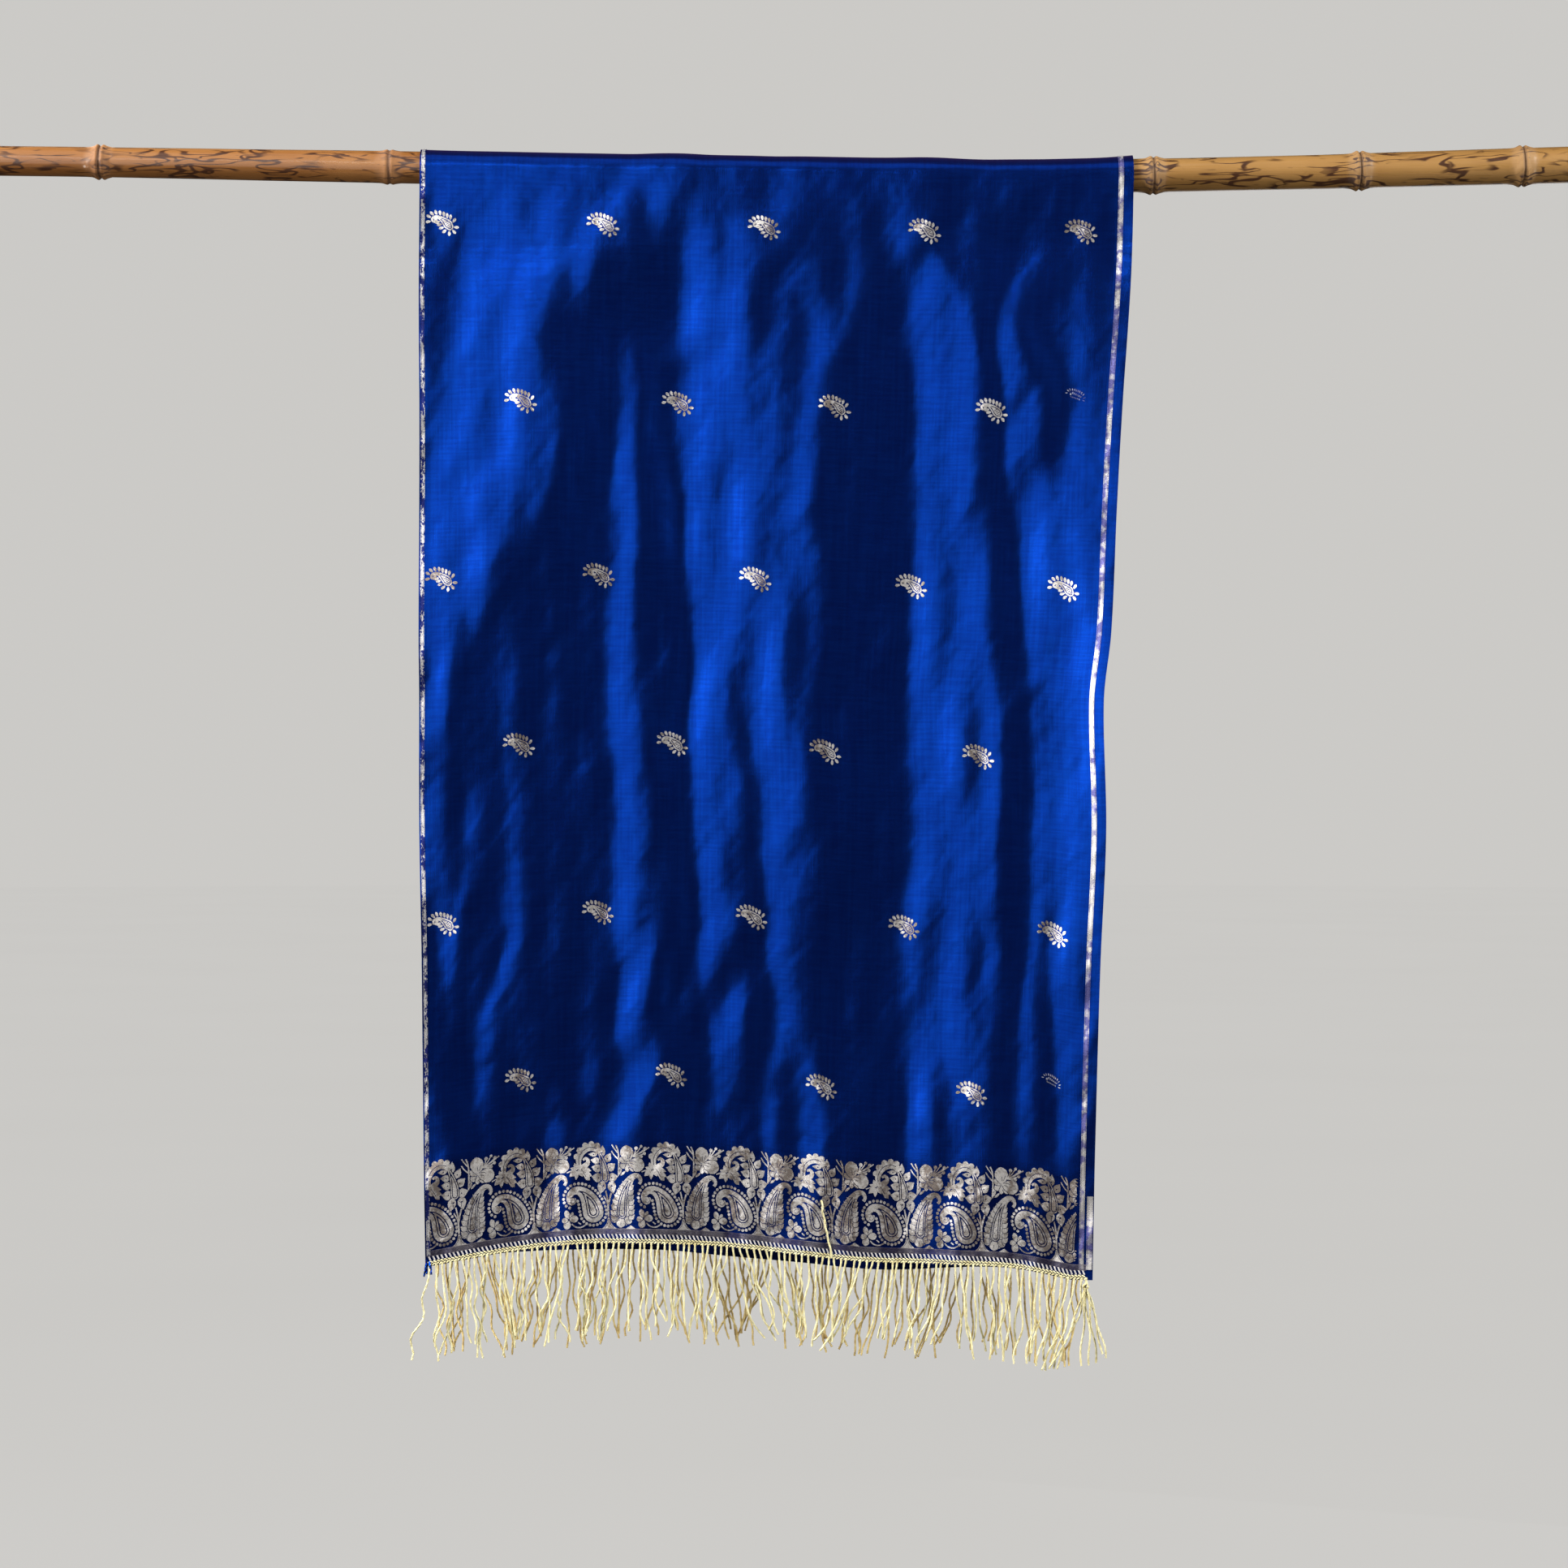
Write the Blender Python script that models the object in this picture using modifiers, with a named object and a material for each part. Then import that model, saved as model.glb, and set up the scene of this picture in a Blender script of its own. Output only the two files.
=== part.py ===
"""A fringed silk stole hung over a bamboo rod.

The cloth hangs in two long panels from the rod, one before it and one behind it.
Every panel is a thin wall lofted on a rule: fold lines run down the cloth, each
with its place across and its depth at a few heights, and the edges follow short
outline tables. The woven border bands, the stretch over the rod and the two
fringes are pieces of their own.

Frame: metres, +Z up. The origin is on the rod's axis, midway across the cloth.
+X runs along the rod to the right, and -Y faces the viewer.
Tables are in millimetres: "across" is X, "drop" is the distance below the origin,
and "depth" is how far a fold stands out from the panel's mean plane.
"""

import math
import random
from collections import namedtuple

import bmesh
import bpy
from mathutils import Vector

MM = 0.001

# ---- Driving dimensions (metres) -------------------------------------------

CLOTH_HALF_WIDTH = 0.2794       # half of the 22 inch loom width, flat over the rod
CLOTH_WALL = 0.0012             # thickness of the cloth wall
ROD_CLEARANCE = 0.0005          # from the rod's skin to the cloth's inner face
PIECE_GAP = 0.0003              # between pieces that meet
SADDLE_SKIRT = 0.006            # how far the saddle reaches below the rod's axis
BORDER_DEPTH = 0.078            # height of the woven border band above the hem
BORDER_ROWS = 3
BACK_HEM_EXTRA = 0.009          # how much lower the back hem hangs at mid width
BACK_INSET = 0.004              # how far the back panel's edges lie inside the front's
FOLD_ROUNDING = 0.007           # half width over which a fold line is rounded
BRIDGE_REACH = 0.0186           # how far the cloth bridges to each side of a rod node

FRINGE_COUNT = 105              # strands on each end of the cloth
FRINGE_STRIP = 0.0042           # height of the heading strip
FRINGE_STRIP_WALL = 0.0028      # thickness of the heading strip
FRINGE_SHORTEST = 0.060         # strand length below the heading strip
FRINGE_LONGEST = 0.078
FRINGE_THREAD = 0.0013          # side of a strand
FRINGE_SEGMENTS = 3
FRINGE_UNEVEN = 0.15            # play of the strands' roots, in strand pitches
FRINGE_SWAY = 0.40              # sideways play of a strand's bends, in strand pitches

ROD_BEVEL = 0.010               # bevel depth that the radius factors scale
ROD_BEVEL_RESOLUTION = 6        # sixteen sides

# ---- Short tables (millimetres) --------------------------------------------

RodStation = namedtuple("RodStation", "across height radius")
ROD_STATIONS = [
    RodStation(across=-650, height=11.0, radius=11.6),
    RodStation(across=-640, height=11.0, radius=11.6),
    RodStation(across=-440, height=8.0, radius=12.0),
    RodStation(across=-279, height=5.1, radius=12.4),
    RodStation(across=-130, height=2.0, radius=12.7),
    RodStation(across=0, height=0.0, radius=12.9),
    RodStation(across=186, height=-2.9, radius=13.1),
    RodStation(across=279, height=-1.3, radius=13.3),
    RodStation(across=380, height=0.8, radius=13.4),
    RodStation(across=457, height=2.5, radius=13.6),
    RodStation(across=640, height=8.0, radius=14.2),
    RodStation(across=650, height=8.0, radius=14.2),
]

RodNode = namedtuple("RodNode", "across swell")
ROD_NODES = [
    RodNode(across=-532, swell=2.3),
    RodNode(across=-305, swell=1.2),
    RodNode(across=-86, swell=1.0),
    RodNode(across=119, swell=1.0),
    RodNode(across=295, swell=2.0),
    RodNode(across=457, swell=2.2),
    RodNode(across=585, swell=2.2),
]

NodeRing = namedtuple("NodeRing", "offset share")
NODE_RINGS = [
    NodeRing(offset=-9.0, share=0.0),
    NodeRing(offset=-3.5, share=0.55),
    NodeRing(offset=-1.2, share=1.0),
    NodeRing(offset=0.8, share=0.35),
    NodeRing(offset=3.0, share=0.95),
    NodeRing(offset=9.0, share=0.0),
]

EdgePoint = namedtuple("EdgePoint", "drop left right")
PANEL_EDGES = [
    EdgePoint(drop=0, left=-279.4, right=279.4),
    EdgePoint(drop=75, left=-280.0, right=277.5),
    EdgePoint(drop=184, left=-279.5, right=270.0),
    EdgePoint(drop=260, left=-279.5, right=265.4),
    EdgePoint(drop=361, left=-279.5, right=260.4),
    EdgePoint(drop=415, left=-279.0, right=254.5),
    EdgePoint(drop=515, left=-279.0, right=256.5),
    EdgePoint(drop=622, left=-277.0, right=252.2),
    EdgePoint(drop=765, left=-275.6, right=248.4),
    EdgePoint(drop=870, left=-274.0, right=246.4),
]

HemPoint = namedtuple("HemPoint", "across drop")
FRONT_HEM = [
    HemPoint(across=-280, drop=856.5),
    HemPoint(across=-211, drop=846.0),
    HemPoint(across=-150, drop=840.0),
    HemPoint(across=-90, drop=839.5),
    HemPoint(across=-30, drop=842.5),
    HemPoint(across=32, drop=848.5),
    HemPoint(across=92, drop=854.0),
    HemPoint(across=153, drop=855.5),
    HemPoint(across=214, drop=858.0),
    HemPoint(across=262, drop=866.5),
]

# The heights at which the fold tables give their columns.
FOLD_DROPS = (57, 120, 184, 279, 374, 501, 660, 742)

FoldLine = namedtuple("FoldLine", "name across depth")
# Depth is positive towards the outside of the panel: a crest, or a trough below nought.
# The first and last line of a panel lie just outside its edges.
FRONT_FOLDS = [
    FoldLine("left_edge", (-281, -281, -281, -281, -281, -281, -279, -278),
             (0.0, 3.5, 2.5, 4.0, 9.0, 7.0, 9.0, 8.0)),
    FoldLine("edge_dip", (-246, -262, -258, -270, -264, -256, -262, -258),
             (-3.0, 0.0, 0.5, 4.5, 7.5, 7.5, 7.0, 6.0)),
    FoldLine("left_crest", (-150, -170, -168, -192, -246, -246, -250, -236),
             (3.6, 7.0, 7.0, 10.0, 9.0, 6.5, 5.0, 2.0)),
    FoldLine("low_trough", (-136, -146, -152, -176, -228, -228, -218, -186),
             (3.0, 1.0, 3.0, 5.0, 6.0, 3.5, 3.6, -4.0)),
    FoldLine("low_crest", (-124, -132, -138, -162, -200, -196, -196, -158),
             (2.8, -2.0, 0.0, 2.4, 3.2, 1.8, 2.6, -2.6)),
    FoldLine("streak_trough", (-110, -116, -122, -142, -140, -140, -126, -136),
             (-1.0, -5.5, -4.0, -3.4, -6.0, -5.0, -4.8, -4.5)),
    FoldLine("streak_crest", (-102, -108, -106, -110, -106, -98, -93, -104),
             (-2.0, -5.4, -3.0, -3.4, -4.6, -2.6, -1.6, -0.8)),
    FoldLine("middle_trough", (-76, -76, -82, -74, -70, -64, -57, -42),
             (-3.5, -9.0, -8.5, -9.0, -9.5, -9.0, -7.5, -8.0)),
    FoldLine("middle_crest", (-50, -24, -14, -8, -40, -40, -36, -26),
             (-0.2, -1.0, -1.0, -2.5, -6.0, -5.5, -4.4, -6.6)),
    FoldLine("inner_trough", (-26, -4, 6, 6, -30, -16, -2, -14),
             (0.2, -1.4, -1.4, -1.6, -6.0, -6.6, -7.0, -8.0)),
    FoldLine("inner_crest", (-6, 30, 40, 36, 22, 28, 22, 50),
             (0.8, -2.0, -0.2, -0.6, -0.4, -0.4, -4.5, -2.6)),
    FoldLine("slant_crest", (90, 62, 52, 50, 34, 40, 38, 58),
             (-2.6, -1.6, -1.0, -2.0, -2.0, -2.0, -6.0, -3.2)),
    FoldLine("right_trough", (92, 102, 106, 106, 104, 102, 94, 98),
             (-2.6, -6.0, -7.5, -9.0, -9.0, -8.5, -9.0, -6.0)),
    FoldLine("right_crest", (124, 154, 162, 166, 166, 176, 168, 160),
             (0.0, 1.0, 1.4, -1.5, 1.6, 3.2, 1.5, 2.6)),
    FoldLine("spark_trough", (188, 170, 178, 184, 194, 202, 190, 182),
             (-4.2, -0.6, -0.6, -3.0, 0.4, 1.5, 1.0, 2.4)),
    FoldLine("spark_crest", (214, 192, 208, 206, 208, 214, 206, 206),
             (-3.0, 2.4, 4.0, 0.6, 2.8, 4.0, 4.0, 4.6)),
    FoldLine("outer_trough", (240, 212, 228, 212, 216, 222, 214, 216),
             (-2.0, -0.6, 1.6, 1.6, 4.6, 5.6, 3.8, 5.0)),
    FoldLine("right_edge", (280, 277, 272, 267, 261, 258, 254, 252),
             (-1.0, 5.0, 6.5, 13.5, 17.0, 16.5, 12.5, 9.0)),
]
BACK_FOLDS = [
    FoldLine("left_edge", (-281, -281, -281, -281, -281, -281, -279, -278),
             (0.0, -1.0, -2.0, -3.0, -4.0, -4.0, -4.5, -4.5)),
    FoldLine("first_crest", (-205, -209, -212, -219, -223, -226, -230, -228),
             (1.5, 3.4, 5.0, 6.6, 7.8, 8.5, 9.0, 9.0)),
    FoldLine("first_trough", (-130, -140, -148, -153, -157, -160, -158, -150),
             (-1.5, -3.4, -5.0, -6.0, -6.8, -7.0, -7.5, -7.0)),
    FoldLine("second_crest", (-60, -66, -72, -79, -86, -92, -90, -84),
             (1.5, 3.2, 4.5, 5.8, 6.8, 8.0, 8.5, 8.0)),
    FoldLine("second_trough", (-10, -14, -18, -25, -31, -34, -40, -42),
             (-1.0, -3.0, -4.5, -5.8, -6.8, -7.5, -7.5, -7.0)),
    FoldLine("third_crest", (52, 49, 46, 42, 38, 30, 24, 20),
             (1.0, 3.4, 5.5, 7.4, 8.6, 9.0, 9.0, 8.5)),
    FoldLine("third_trough", (110, 107, 104, 99, 95, 92, 96, 98),
             (-1.5, -3.8, -5.5, -6.2, -6.8, -7.5, -8.0, -7.5)),
    FoldLine("fourth_crest", (178, 174, 170, 168, 166, 168, 164, 160),
             (1.5, 3.4, 5.0, 6.6, 7.8, 8.5, 9.5, 9.0)),
    FoldLine("fourth_trough", (232, 230, 228, 224, 222, 220, 216, 214),
             (-1.0, -2.6, -4.0, -4.6, -5.2, -6.0, -6.0, -5.5)),
    FoldLine("right_edge", (280, 277, 272, 267, 261, 258, 254, 252),
             (0.0, 0.0, 0.5, 1.0, 1.0, 1.0, 1.2, 1.2)),
]

Finish = namedtuple("Finish", "colour roughness metallic")
BLUE_SILK = Finish(colour=(0.004, 0.035, 0.38), roughness=0.35, metallic=0.35)
SILVER_ZARI = Finish(colour=(0.42, 0.38, 0.36), roughness=0.35, metallic=0.7)
GOLD_THREAD = Finish(colour=(0.62, 0.54, 0.22), roughness=0.45, metallic=0.1)
BAMBOO = Finish(colour=(0.52, 0.31, 0.12), roughness=0.4, metallic=0.0)


# ---- Reading the tables ----------------------------------------------------

def smooth_between(knots, values, place):
    """Cubic curve through (knot, value) pairs, level beyond both ends."""
    if place <= knots[0]:
        return values[0]
    if place >= knots[-1]:
        return values[-1]
    last = len(knots) - 1
    index = max(i for i in range(last) if knots[i] <= place)
    span = knots[index + 1] - knots[index]
    share = (place - knots[index]) / span

    def tangent(i):
        before, after = max(i - 1, 0), min(i + 1, last)
        return (values[after] - values[before]) / (knots[after] - knots[before])

    square, cube = share ** 2, share ** 3
    return (
        (2 * cube - 3 * square + 1) * values[index]
        + (cube - 2 * square + share) * span * tangent(index)
        + (3 * square - 2 * cube) * values[index + 1]
        + (cube - square) * span * tangent(index + 1)
    )


def read_table(rows, key, column, place):
    """Value of a table's column, in metres, at a place given in metres."""
    knots = [getattr(row, key) for row in rows]
    values = [getattr(row, column) for row in rows]
    return smooth_between(knots, values, place / MM) * MM


def straight_between(points, place):
    """Straight-line reading of sorted (x, y) points."""
    for (x0, y0), (x1, y1) in zip(points, points[1:]):
        if place <= x1:
            share = max(0.0, (place - x0) / (x1 - x0))
            return y0 + (y1 - y0) * share
    return points[-1][1]


# ---- The rod ---------------------------------------------------------------

def rod_height(across):
    """Height of the rod's axis above the origin."""
    return read_table(ROD_STATIONS, "across", "height", across)


def rod_radius(across):
    """Radius of the rod, with its swollen nodes."""
    radius = read_table(ROD_STATIONS, "across", "radius", across)
    for node in ROD_NODES:
        rings = [(ring.offset, ring.share) for ring in NODE_RINGS]
        offset = across / MM - node.across
        if rings[0][0] < offset < rings[-1][0]:
            radius += node.swell * MM * straight_between(rings, offset)
    return radius


def rod_sections():
    """Places along the rod that take a ring of points."""
    places = {station.across * MM for station in ROD_STATIONS}
    for node in ROD_NODES:
        places |= {(node.across + ring.offset) * MM for ring in NODE_RINGS}
    return sorted(places)


def make_rod(collection):
    """The bamboo rod: a bevelled curve whose radius swells at each node."""
    sections = rod_sections()
    curve = bpy.data.curves.new("rod", "CURVE")
    curve.dimensions = "3D"
    curve.bevel_depth = ROD_BEVEL
    curve.bevel_resolution = ROD_BEVEL_RESOLUTION
    curve.use_fill_caps = True
    spline = curve.splines.new("POLY")
    spline.points.add(len(sections) - 1)
    for point, across in zip(spline.points, sections):
        point.co = (across, 0.0, rod_height(across), 1.0)
        point.radius = rod_radius(across) / ROD_BEVEL
    rod = bpy.data.objects.new("rod", curve)
    collection.objects.link(rod)
    finish_object(rod, BAMBOO)


# ---- The cloth's rule ------------------------------------------------------

def flat_across(share_across):
    """Place across on the rod, where the cloth lies at its full width."""
    return CLOTH_HALF_WIDTH * (2 * share_across - 1)


def saddle_radius(across):
    """Radius of the cloth's middle layer over the rod: it bridges the nodes."""
    steps = (-1.0, -0.6, -0.3, 0.0, 0.3, 0.6, 1.0)
    skin = max(rod_radius(across + BRIDGE_REACH * step) for step in steps)
    return skin + ROD_CLEARANCE + CLOTH_WALL / 2


def panel_edges(drop):
    """Left and right edge of the front panel at one height."""
    return [read_table(PANEL_EDGES, "drop", side, drop) for side in ("left", "right")]


def fold_depth(folds, across, drop):
    """Depth of a panel's folds at one place, rounded at the fold lines."""
    points = [
        (
            smooth_between(FOLD_DROPS, fold.across, drop / MM) * MM,
            smooth_between(FOLD_DROPS, fold.depth, drop / MM) * MM,
        )
        for fold in folds
    ]
    offsets = (-1.0, -0.5, 0.0, 0.5, 1.0)
    depths = [straight_between(points, across + FOLD_ROUNDING * step) for step in offsets]
    return sum(depths) / len(depths)


def fold_growth(drop):
    """Share of its full depth that a fold has: none where the cloth leaves the rod."""
    share = min(1.0, max(0.0, (drop - SADDLE_SKIRT) / (FOLD_DROPS[0] * MM)))
    return share * share * (3 - 2 * share)


class Panel:
    """One hanging side of the cloth, before (-1) or behind (+1) the rod."""

    def __init__(self, side, folds, hem_extra, inset, columns, rows):
        self.side = side
        self.folds = folds
        self.hem_extra = hem_extra
        self.inset = inset
        self.columns = columns
        self.rows = rows

    def top_drop(self, across):
        """Drop of the seam between the saddle and the panel."""
        return SADDLE_SKIRT - rod_height(across)

    def hem_drop(self, across):
        """Drop of the cloth's lower edge."""
        share = min(1.0, abs(across) / CLOTH_HALF_WIDTH)
        extra = self.hem_extra * (1 - share ** 2)
        return read_table(FRONT_HEM, "across", "drop", across) + extra

    def place(self, share_across, drop):
        """Point of the cloth's middle layer, from its share across and its drop."""
        left, right = panel_edges(drop)
        tuck = self.inset * fold_growth(drop) * (1 - 2 * share_across)
        across = left + (right - left) * share_across + tuck
        depth = fold_depth(self.folds, across, drop) * fold_growth(drop)
        stand = saddle_radius(across) + depth
        return Vector((across, self.side * stand, -drop))

    def hem_point(self, share_across):
        """Point on the lower edge of the wall as it is built, facet by facet."""
        column = min(int(share_across * self.columns), self.columns - 1)
        corners = []
        for share in (column / self.columns, (column + 1) / self.columns):
            corners.append(self.place(share, self.hem_drop(flat_across(share))))
        return corners[0].lerp(corners[1], share_across * self.columns - column)


FRONT = Panel(
    side=-1, folds=FRONT_FOLDS, hem_extra=0.0, inset=0.0, columns=36, rows=21,
)
BACK = Panel(
    side=1, folds=BACK_FOLDS, hem_extra=BACK_HEM_EXTRA, inset=BACK_INSET, columns=30, rows=17,
)


# ---- Building walls --------------------------------------------------------

def finish_object(target, finish):
    """Give an object its own material."""
    material = bpy.data.materials.new(target.name)
    material.use_nodes = True
    shader = material.node_tree.nodes["Principled BSDF"]
    shader.inputs["Base Color"].default_value = (*finish.colour, 1.0)
    shader.inputs["Roughness"].default_value = finish.roughness
    shader.inputs["Metallic"].default_value = finish.metallic
    target.data.materials.append(material)


def link_mesh(name, bm, collection, finish):
    """Turn a bmesh into a named, smooth-shaded object."""
    mesh = bpy.data.meshes.new(name)
    bm.to_mesh(mesh)
    bm.free()
    mesh.shade_smooth()
    target = bpy.data.objects.new(name, mesh)
    collection.objects.link(target)
    finish_object(target, finish)
    return target


def make_wall(name, rows, outward, collection, finish):
    """A wall of even thickness on an open grid of points, given row by row."""
    bm = bmesh.new()
    grid = [[bm.verts.new(point) for point in row] for row in rows]
    for upper, lower in zip(grid, grid[1:]):
        for k in range(len(upper) - 1):
            bm.faces.new((upper[k], lower[k], lower[k + 1], upper[k + 1]))
    bm.normal_update()
    middle = bm.faces[:][len(bm.faces) // 2]
    if middle.normal.dot(outward) < 0:
        bmesh.ops.reverse_faces(bm, faces=bm.faces[:])
    wall = link_mesh(name, bm, collection, finish)
    thicken = wall.modifiers.new("cloth wall", "SOLIDIFY")
    thicken.thickness = CLOTH_WALL
    thicken.offset = 0.0
    return wall


def make_stretch(name, panel, row_count, start, stop, collection, finish):
    """A stretch of a panel between two edges, each a drop worked out from X."""
    rows = []
    for r in range(row_count + 1):
        row = []
        for c in range(panel.columns + 1):
            share = c / panel.columns
            across = flat_across(share)
            drop = start(across) + (stop(across) - start(across)) * r / row_count
            row.append(panel.place(share, drop))
        rows.append(row)
    make_wall(name, rows, Vector((0, panel.side, 0)), collection, finish)


def make_saddle(collection):
    """The stretch of cloth that lies over the rod, from skirt to skirt."""
    arc_steps = 8
    edge = SADDLE_SKIRT - PIECE_GAP
    rows = []
    for r in range(arc_steps + 3):
        row = []
        for c in range(FRONT.columns + 1):
            across = flat_across(c / FRONT.columns)
            radius = saddle_radius(across)
            if r == 0 or r == arc_steps + 2:
                side = -1 if r == 0 else 1
                offset = Vector((0, side * radius, -edge))
            else:
                turn = math.pi * (r - 1) / arc_steps
                offset = Vector((0, -radius * math.cos(turn), radius * math.sin(turn)))
            row.append(Vector((across, 0, rod_height(across))) + offset)
        rows.append(row)
    make_wall("stole_over_rod", rows, Vector((0, 0, 1)), collection, BLUE_SILK)


def make_panel_stretches(panel, word, collection):
    """The plain ground of one panel, and its woven border band below it."""

    def band_top(across):
        return panel.hem_drop(across) - BORDER_DEPTH

    def band_start(across):
        return band_top(across) + PIECE_GAP

    make_stretch(
        "stole_" + word, panel, panel.rows,
        panel.top_drop, band_top, collection, BLUE_SILK,
    )
    make_stretch(
        "border_" + word, panel, BORDER_ROWS,
        band_start, panel.hem_drop, collection, SILVER_ZARI,
    )


# ---- The fringe ------------------------------------------------------------

def strip_columns(rng):
    """Shares across the hem where the heading strip is divided, unevenly."""
    shares = []
    for k in range(FRINGE_COUNT + 1):
        inner = 0 < k < FRINGE_COUNT
        offset = rng.uniform(-FRINGE_UNEVEN, FRINGE_UNEVEN) if inner else 0.0
        shares.append((k + offset) / FRINGE_COUNT)
    return shares


def make_strip(bm, panel, shares):
    """The heading strip under the hem. Returns its downward faces, left to right."""
    rings = []
    out = Vector((0, FRINGE_STRIP_WALL / 2, 0))
    for share in shares:
        upper = panel.hem_point(share) - Vector((0, 0, PIECE_GAP))
        lower = upper - Vector((0, 0, FRINGE_STRIP))
        corners = (upper + out, lower + out, lower - out, upper - out)
        rings.append([bm.verts.new(corner) for corner in corners])
    downward = []
    for ring, following in zip(rings, rings[1:]):
        for k in range(4):
            after = (k + 1) % 4
            face = bm.faces.new((ring[k], following[k], following[after], ring[after]))
            if k == 1:
                downward.append(face)
    bm.faces.new(rings[0])
    bm.faces.new(reversed(rings[-1]))
    bmesh.ops.recalc_face_normals(bm, faces=bm.faces[:])
    return downward


def pick_root(bm, face, nearest_viewer):
    """Poke a downward face, and return the triangle on its nearer or farther side."""
    parts = bmesh.ops.poke(bm, faces=[face])["faces"]
    parts.sort(key=lambda part: part.calc_center_median().y)
    return parts[0] if nearest_viewer else parts[-1]


def lean(share):
    """Common sideways lean of neighbouring strands at their tips, in strand pitches."""
    return 0.9 * math.sin(share * 21) + 0.3 * math.sin(share * 50 + 1.0)


def round_off(face, radius):
    """Move a downward face's corners onto a circle about its middle, in their order."""
    middle = face.calc_center_median()
    first = face.verts[0].co - middle
    start = math.atan2(first.y, first.x)
    for corner, vertex in enumerate(face.verts):
        turn = start - 2 * math.pi * corner / len(face.verts)
        vertex.co = middle + Vector((math.cos(turn), math.sin(turn), 0)) * radius


def grow_strand(bm, root, panel, share, rng):
    """Extrude a root face into a wavy strand, which keeps to its side of the strip."""
    from_hem = root.calc_center_median() - panel.hem_point(share)
    length = rng.uniform(FRINGE_SHORTEST, FRINGE_LONGEST)
    face = root
    for k in range(FRINGE_SEGMENTS):
        face = bmesh.ops.extrude_discrete_faces(bm, faces=[face])["faces"][0]
        if k == 0:
            round_off(face, FRINGE_THREAD / math.sqrt(3))
        along = (k + 1) / FRINGE_SEGMENTS
        aside = rng.uniform(-FRINGE_SWAY, FRINGE_SWAY) + lean(share) * along
        target = panel.hem_point(share + aside / FRINGE_COUNT) + from_hem
        target.z -= length * along
        shift = target - face.calc_center_median()
        bmesh.ops.translate(bm, verts=face.verts, vec=shift)


def make_fringe(name, panel, seed, collection):
    """A heading strip with its strands, one closed body."""
    rng = random.Random(seed)
    bm = bmesh.new()
    shares = strip_columns(rng)
    downward = make_strip(bm, panel, shares)
    for k, face in enumerate(downward):
        root = pick_root(bm, face, nearest_viewer=k % 2 == 0)
        grow_strand(bm, root, panel, (shares[k] + shares[k + 1]) / 2, rng)
    link_mesh(name, bm, collection, GOLD_THREAD)


# ---- Assembly --------------------------------------------------------------

def clear_scene():
    """Remove every object of the start-up scene."""
    for target in list(bpy.data.objects):
        bpy.data.objects.remove(target, do_unlink=True)


def main():
    """Build every piece into one collection."""
    clear_scene()
    collection = bpy.data.collections.new("dupatta_stole")
    bpy.context.scene.collection.children.link(collection)
    make_rod(collection)
    make_saddle(collection)
    make_panel_stretches(FRONT, "front", collection)
    make_panel_stretches(BACK, "back", collection)
    make_fringe("fringe_front", FRONT, 11, collection)
    make_fringe("fringe_back", BACK, 23, collection)


main()
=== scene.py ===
"""The looks of a fringed silk stole hung over a bamboo rod.

One rule gives the cloth its shape: fold lines run down each hanging side, each
with its place across and its depth at a few heights, and everything woven into
the cloth is drawn flat and then laid on that surface.

Frame: metres, +Z up, origin on the rod's axis midway across the cloth, +X along
the rod to the right, -Y towards the viewer. The tables are in millimetres.
A place on the flat cloth is (across, travel): travel is nought over the rod, and
grows down the front side and falls down the back side.
"""
import logging
import math
import random
from dataclasses import dataclass
from enum import Enum
from typing import Iterable, NamedTuple, Sequence

import bpy
import numpy as np
from mathutils import Matrix, Quaternion, Vector
from mathutils.geometry import delaunay_2d_cdt


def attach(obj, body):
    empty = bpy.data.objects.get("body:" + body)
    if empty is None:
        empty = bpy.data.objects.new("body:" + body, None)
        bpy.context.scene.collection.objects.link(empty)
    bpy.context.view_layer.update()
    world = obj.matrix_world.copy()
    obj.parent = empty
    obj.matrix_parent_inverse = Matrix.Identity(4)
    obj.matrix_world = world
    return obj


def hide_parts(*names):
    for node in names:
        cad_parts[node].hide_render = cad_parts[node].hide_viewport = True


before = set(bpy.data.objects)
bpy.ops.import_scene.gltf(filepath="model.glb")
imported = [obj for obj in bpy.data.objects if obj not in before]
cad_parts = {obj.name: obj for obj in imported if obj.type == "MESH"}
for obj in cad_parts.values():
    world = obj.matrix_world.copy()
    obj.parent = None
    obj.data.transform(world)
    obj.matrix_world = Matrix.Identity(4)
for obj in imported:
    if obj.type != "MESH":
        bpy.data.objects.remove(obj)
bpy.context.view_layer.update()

LOG = logging.getLogger("stole")
MM = 0.001
BODY = "root"
FLAT_MAP = "flat"
REVERSE = "reverse"
OUTWARD = "outward"
PALE = (0.60, 0.59, 0.57)

Array = np.ndarray
Object = bpy.types.Object
Mesh = bpy.types.Mesh
Material = bpy.types.Material
Tree = bpy.types.NodeTree
Node = bpy.types.Node
Socket = bpy.types.NodeSocket
Pair = tuple[float, float]
Triple = tuple[float, float, float]


class Side(Enum):
    """The two hanging sides of the cloth, by the way each faces along Y."""

    FRONT = -1
    BACK = 1

    @property
    def label(self) -> str:
        """The side's part of a name."""
        return self.name.lower()


class Weave(Enum):
    """What a patch of a woven drawing is made of."""

    GROUND = 0
    ZARI = 1


# ---- Tables ------------------------------------------------------------------

class RodStation(NamedTuple):
    """Height of the rod's axis and its radius at a place across (mm)."""

    across: float
    height: float
    radius: float


class RodNode(NamedTuple):
    """A bamboo node: where its ring stands and how far it swells (mm)."""

    across: float
    swell: float


class Bud(NamedTuple):
    """A bud scar on the rod: place, degrees below the front, half sizes and rise (mm)."""

    across: float
    below: float
    half_length: float
    half_height: float
    rise: float


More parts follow.
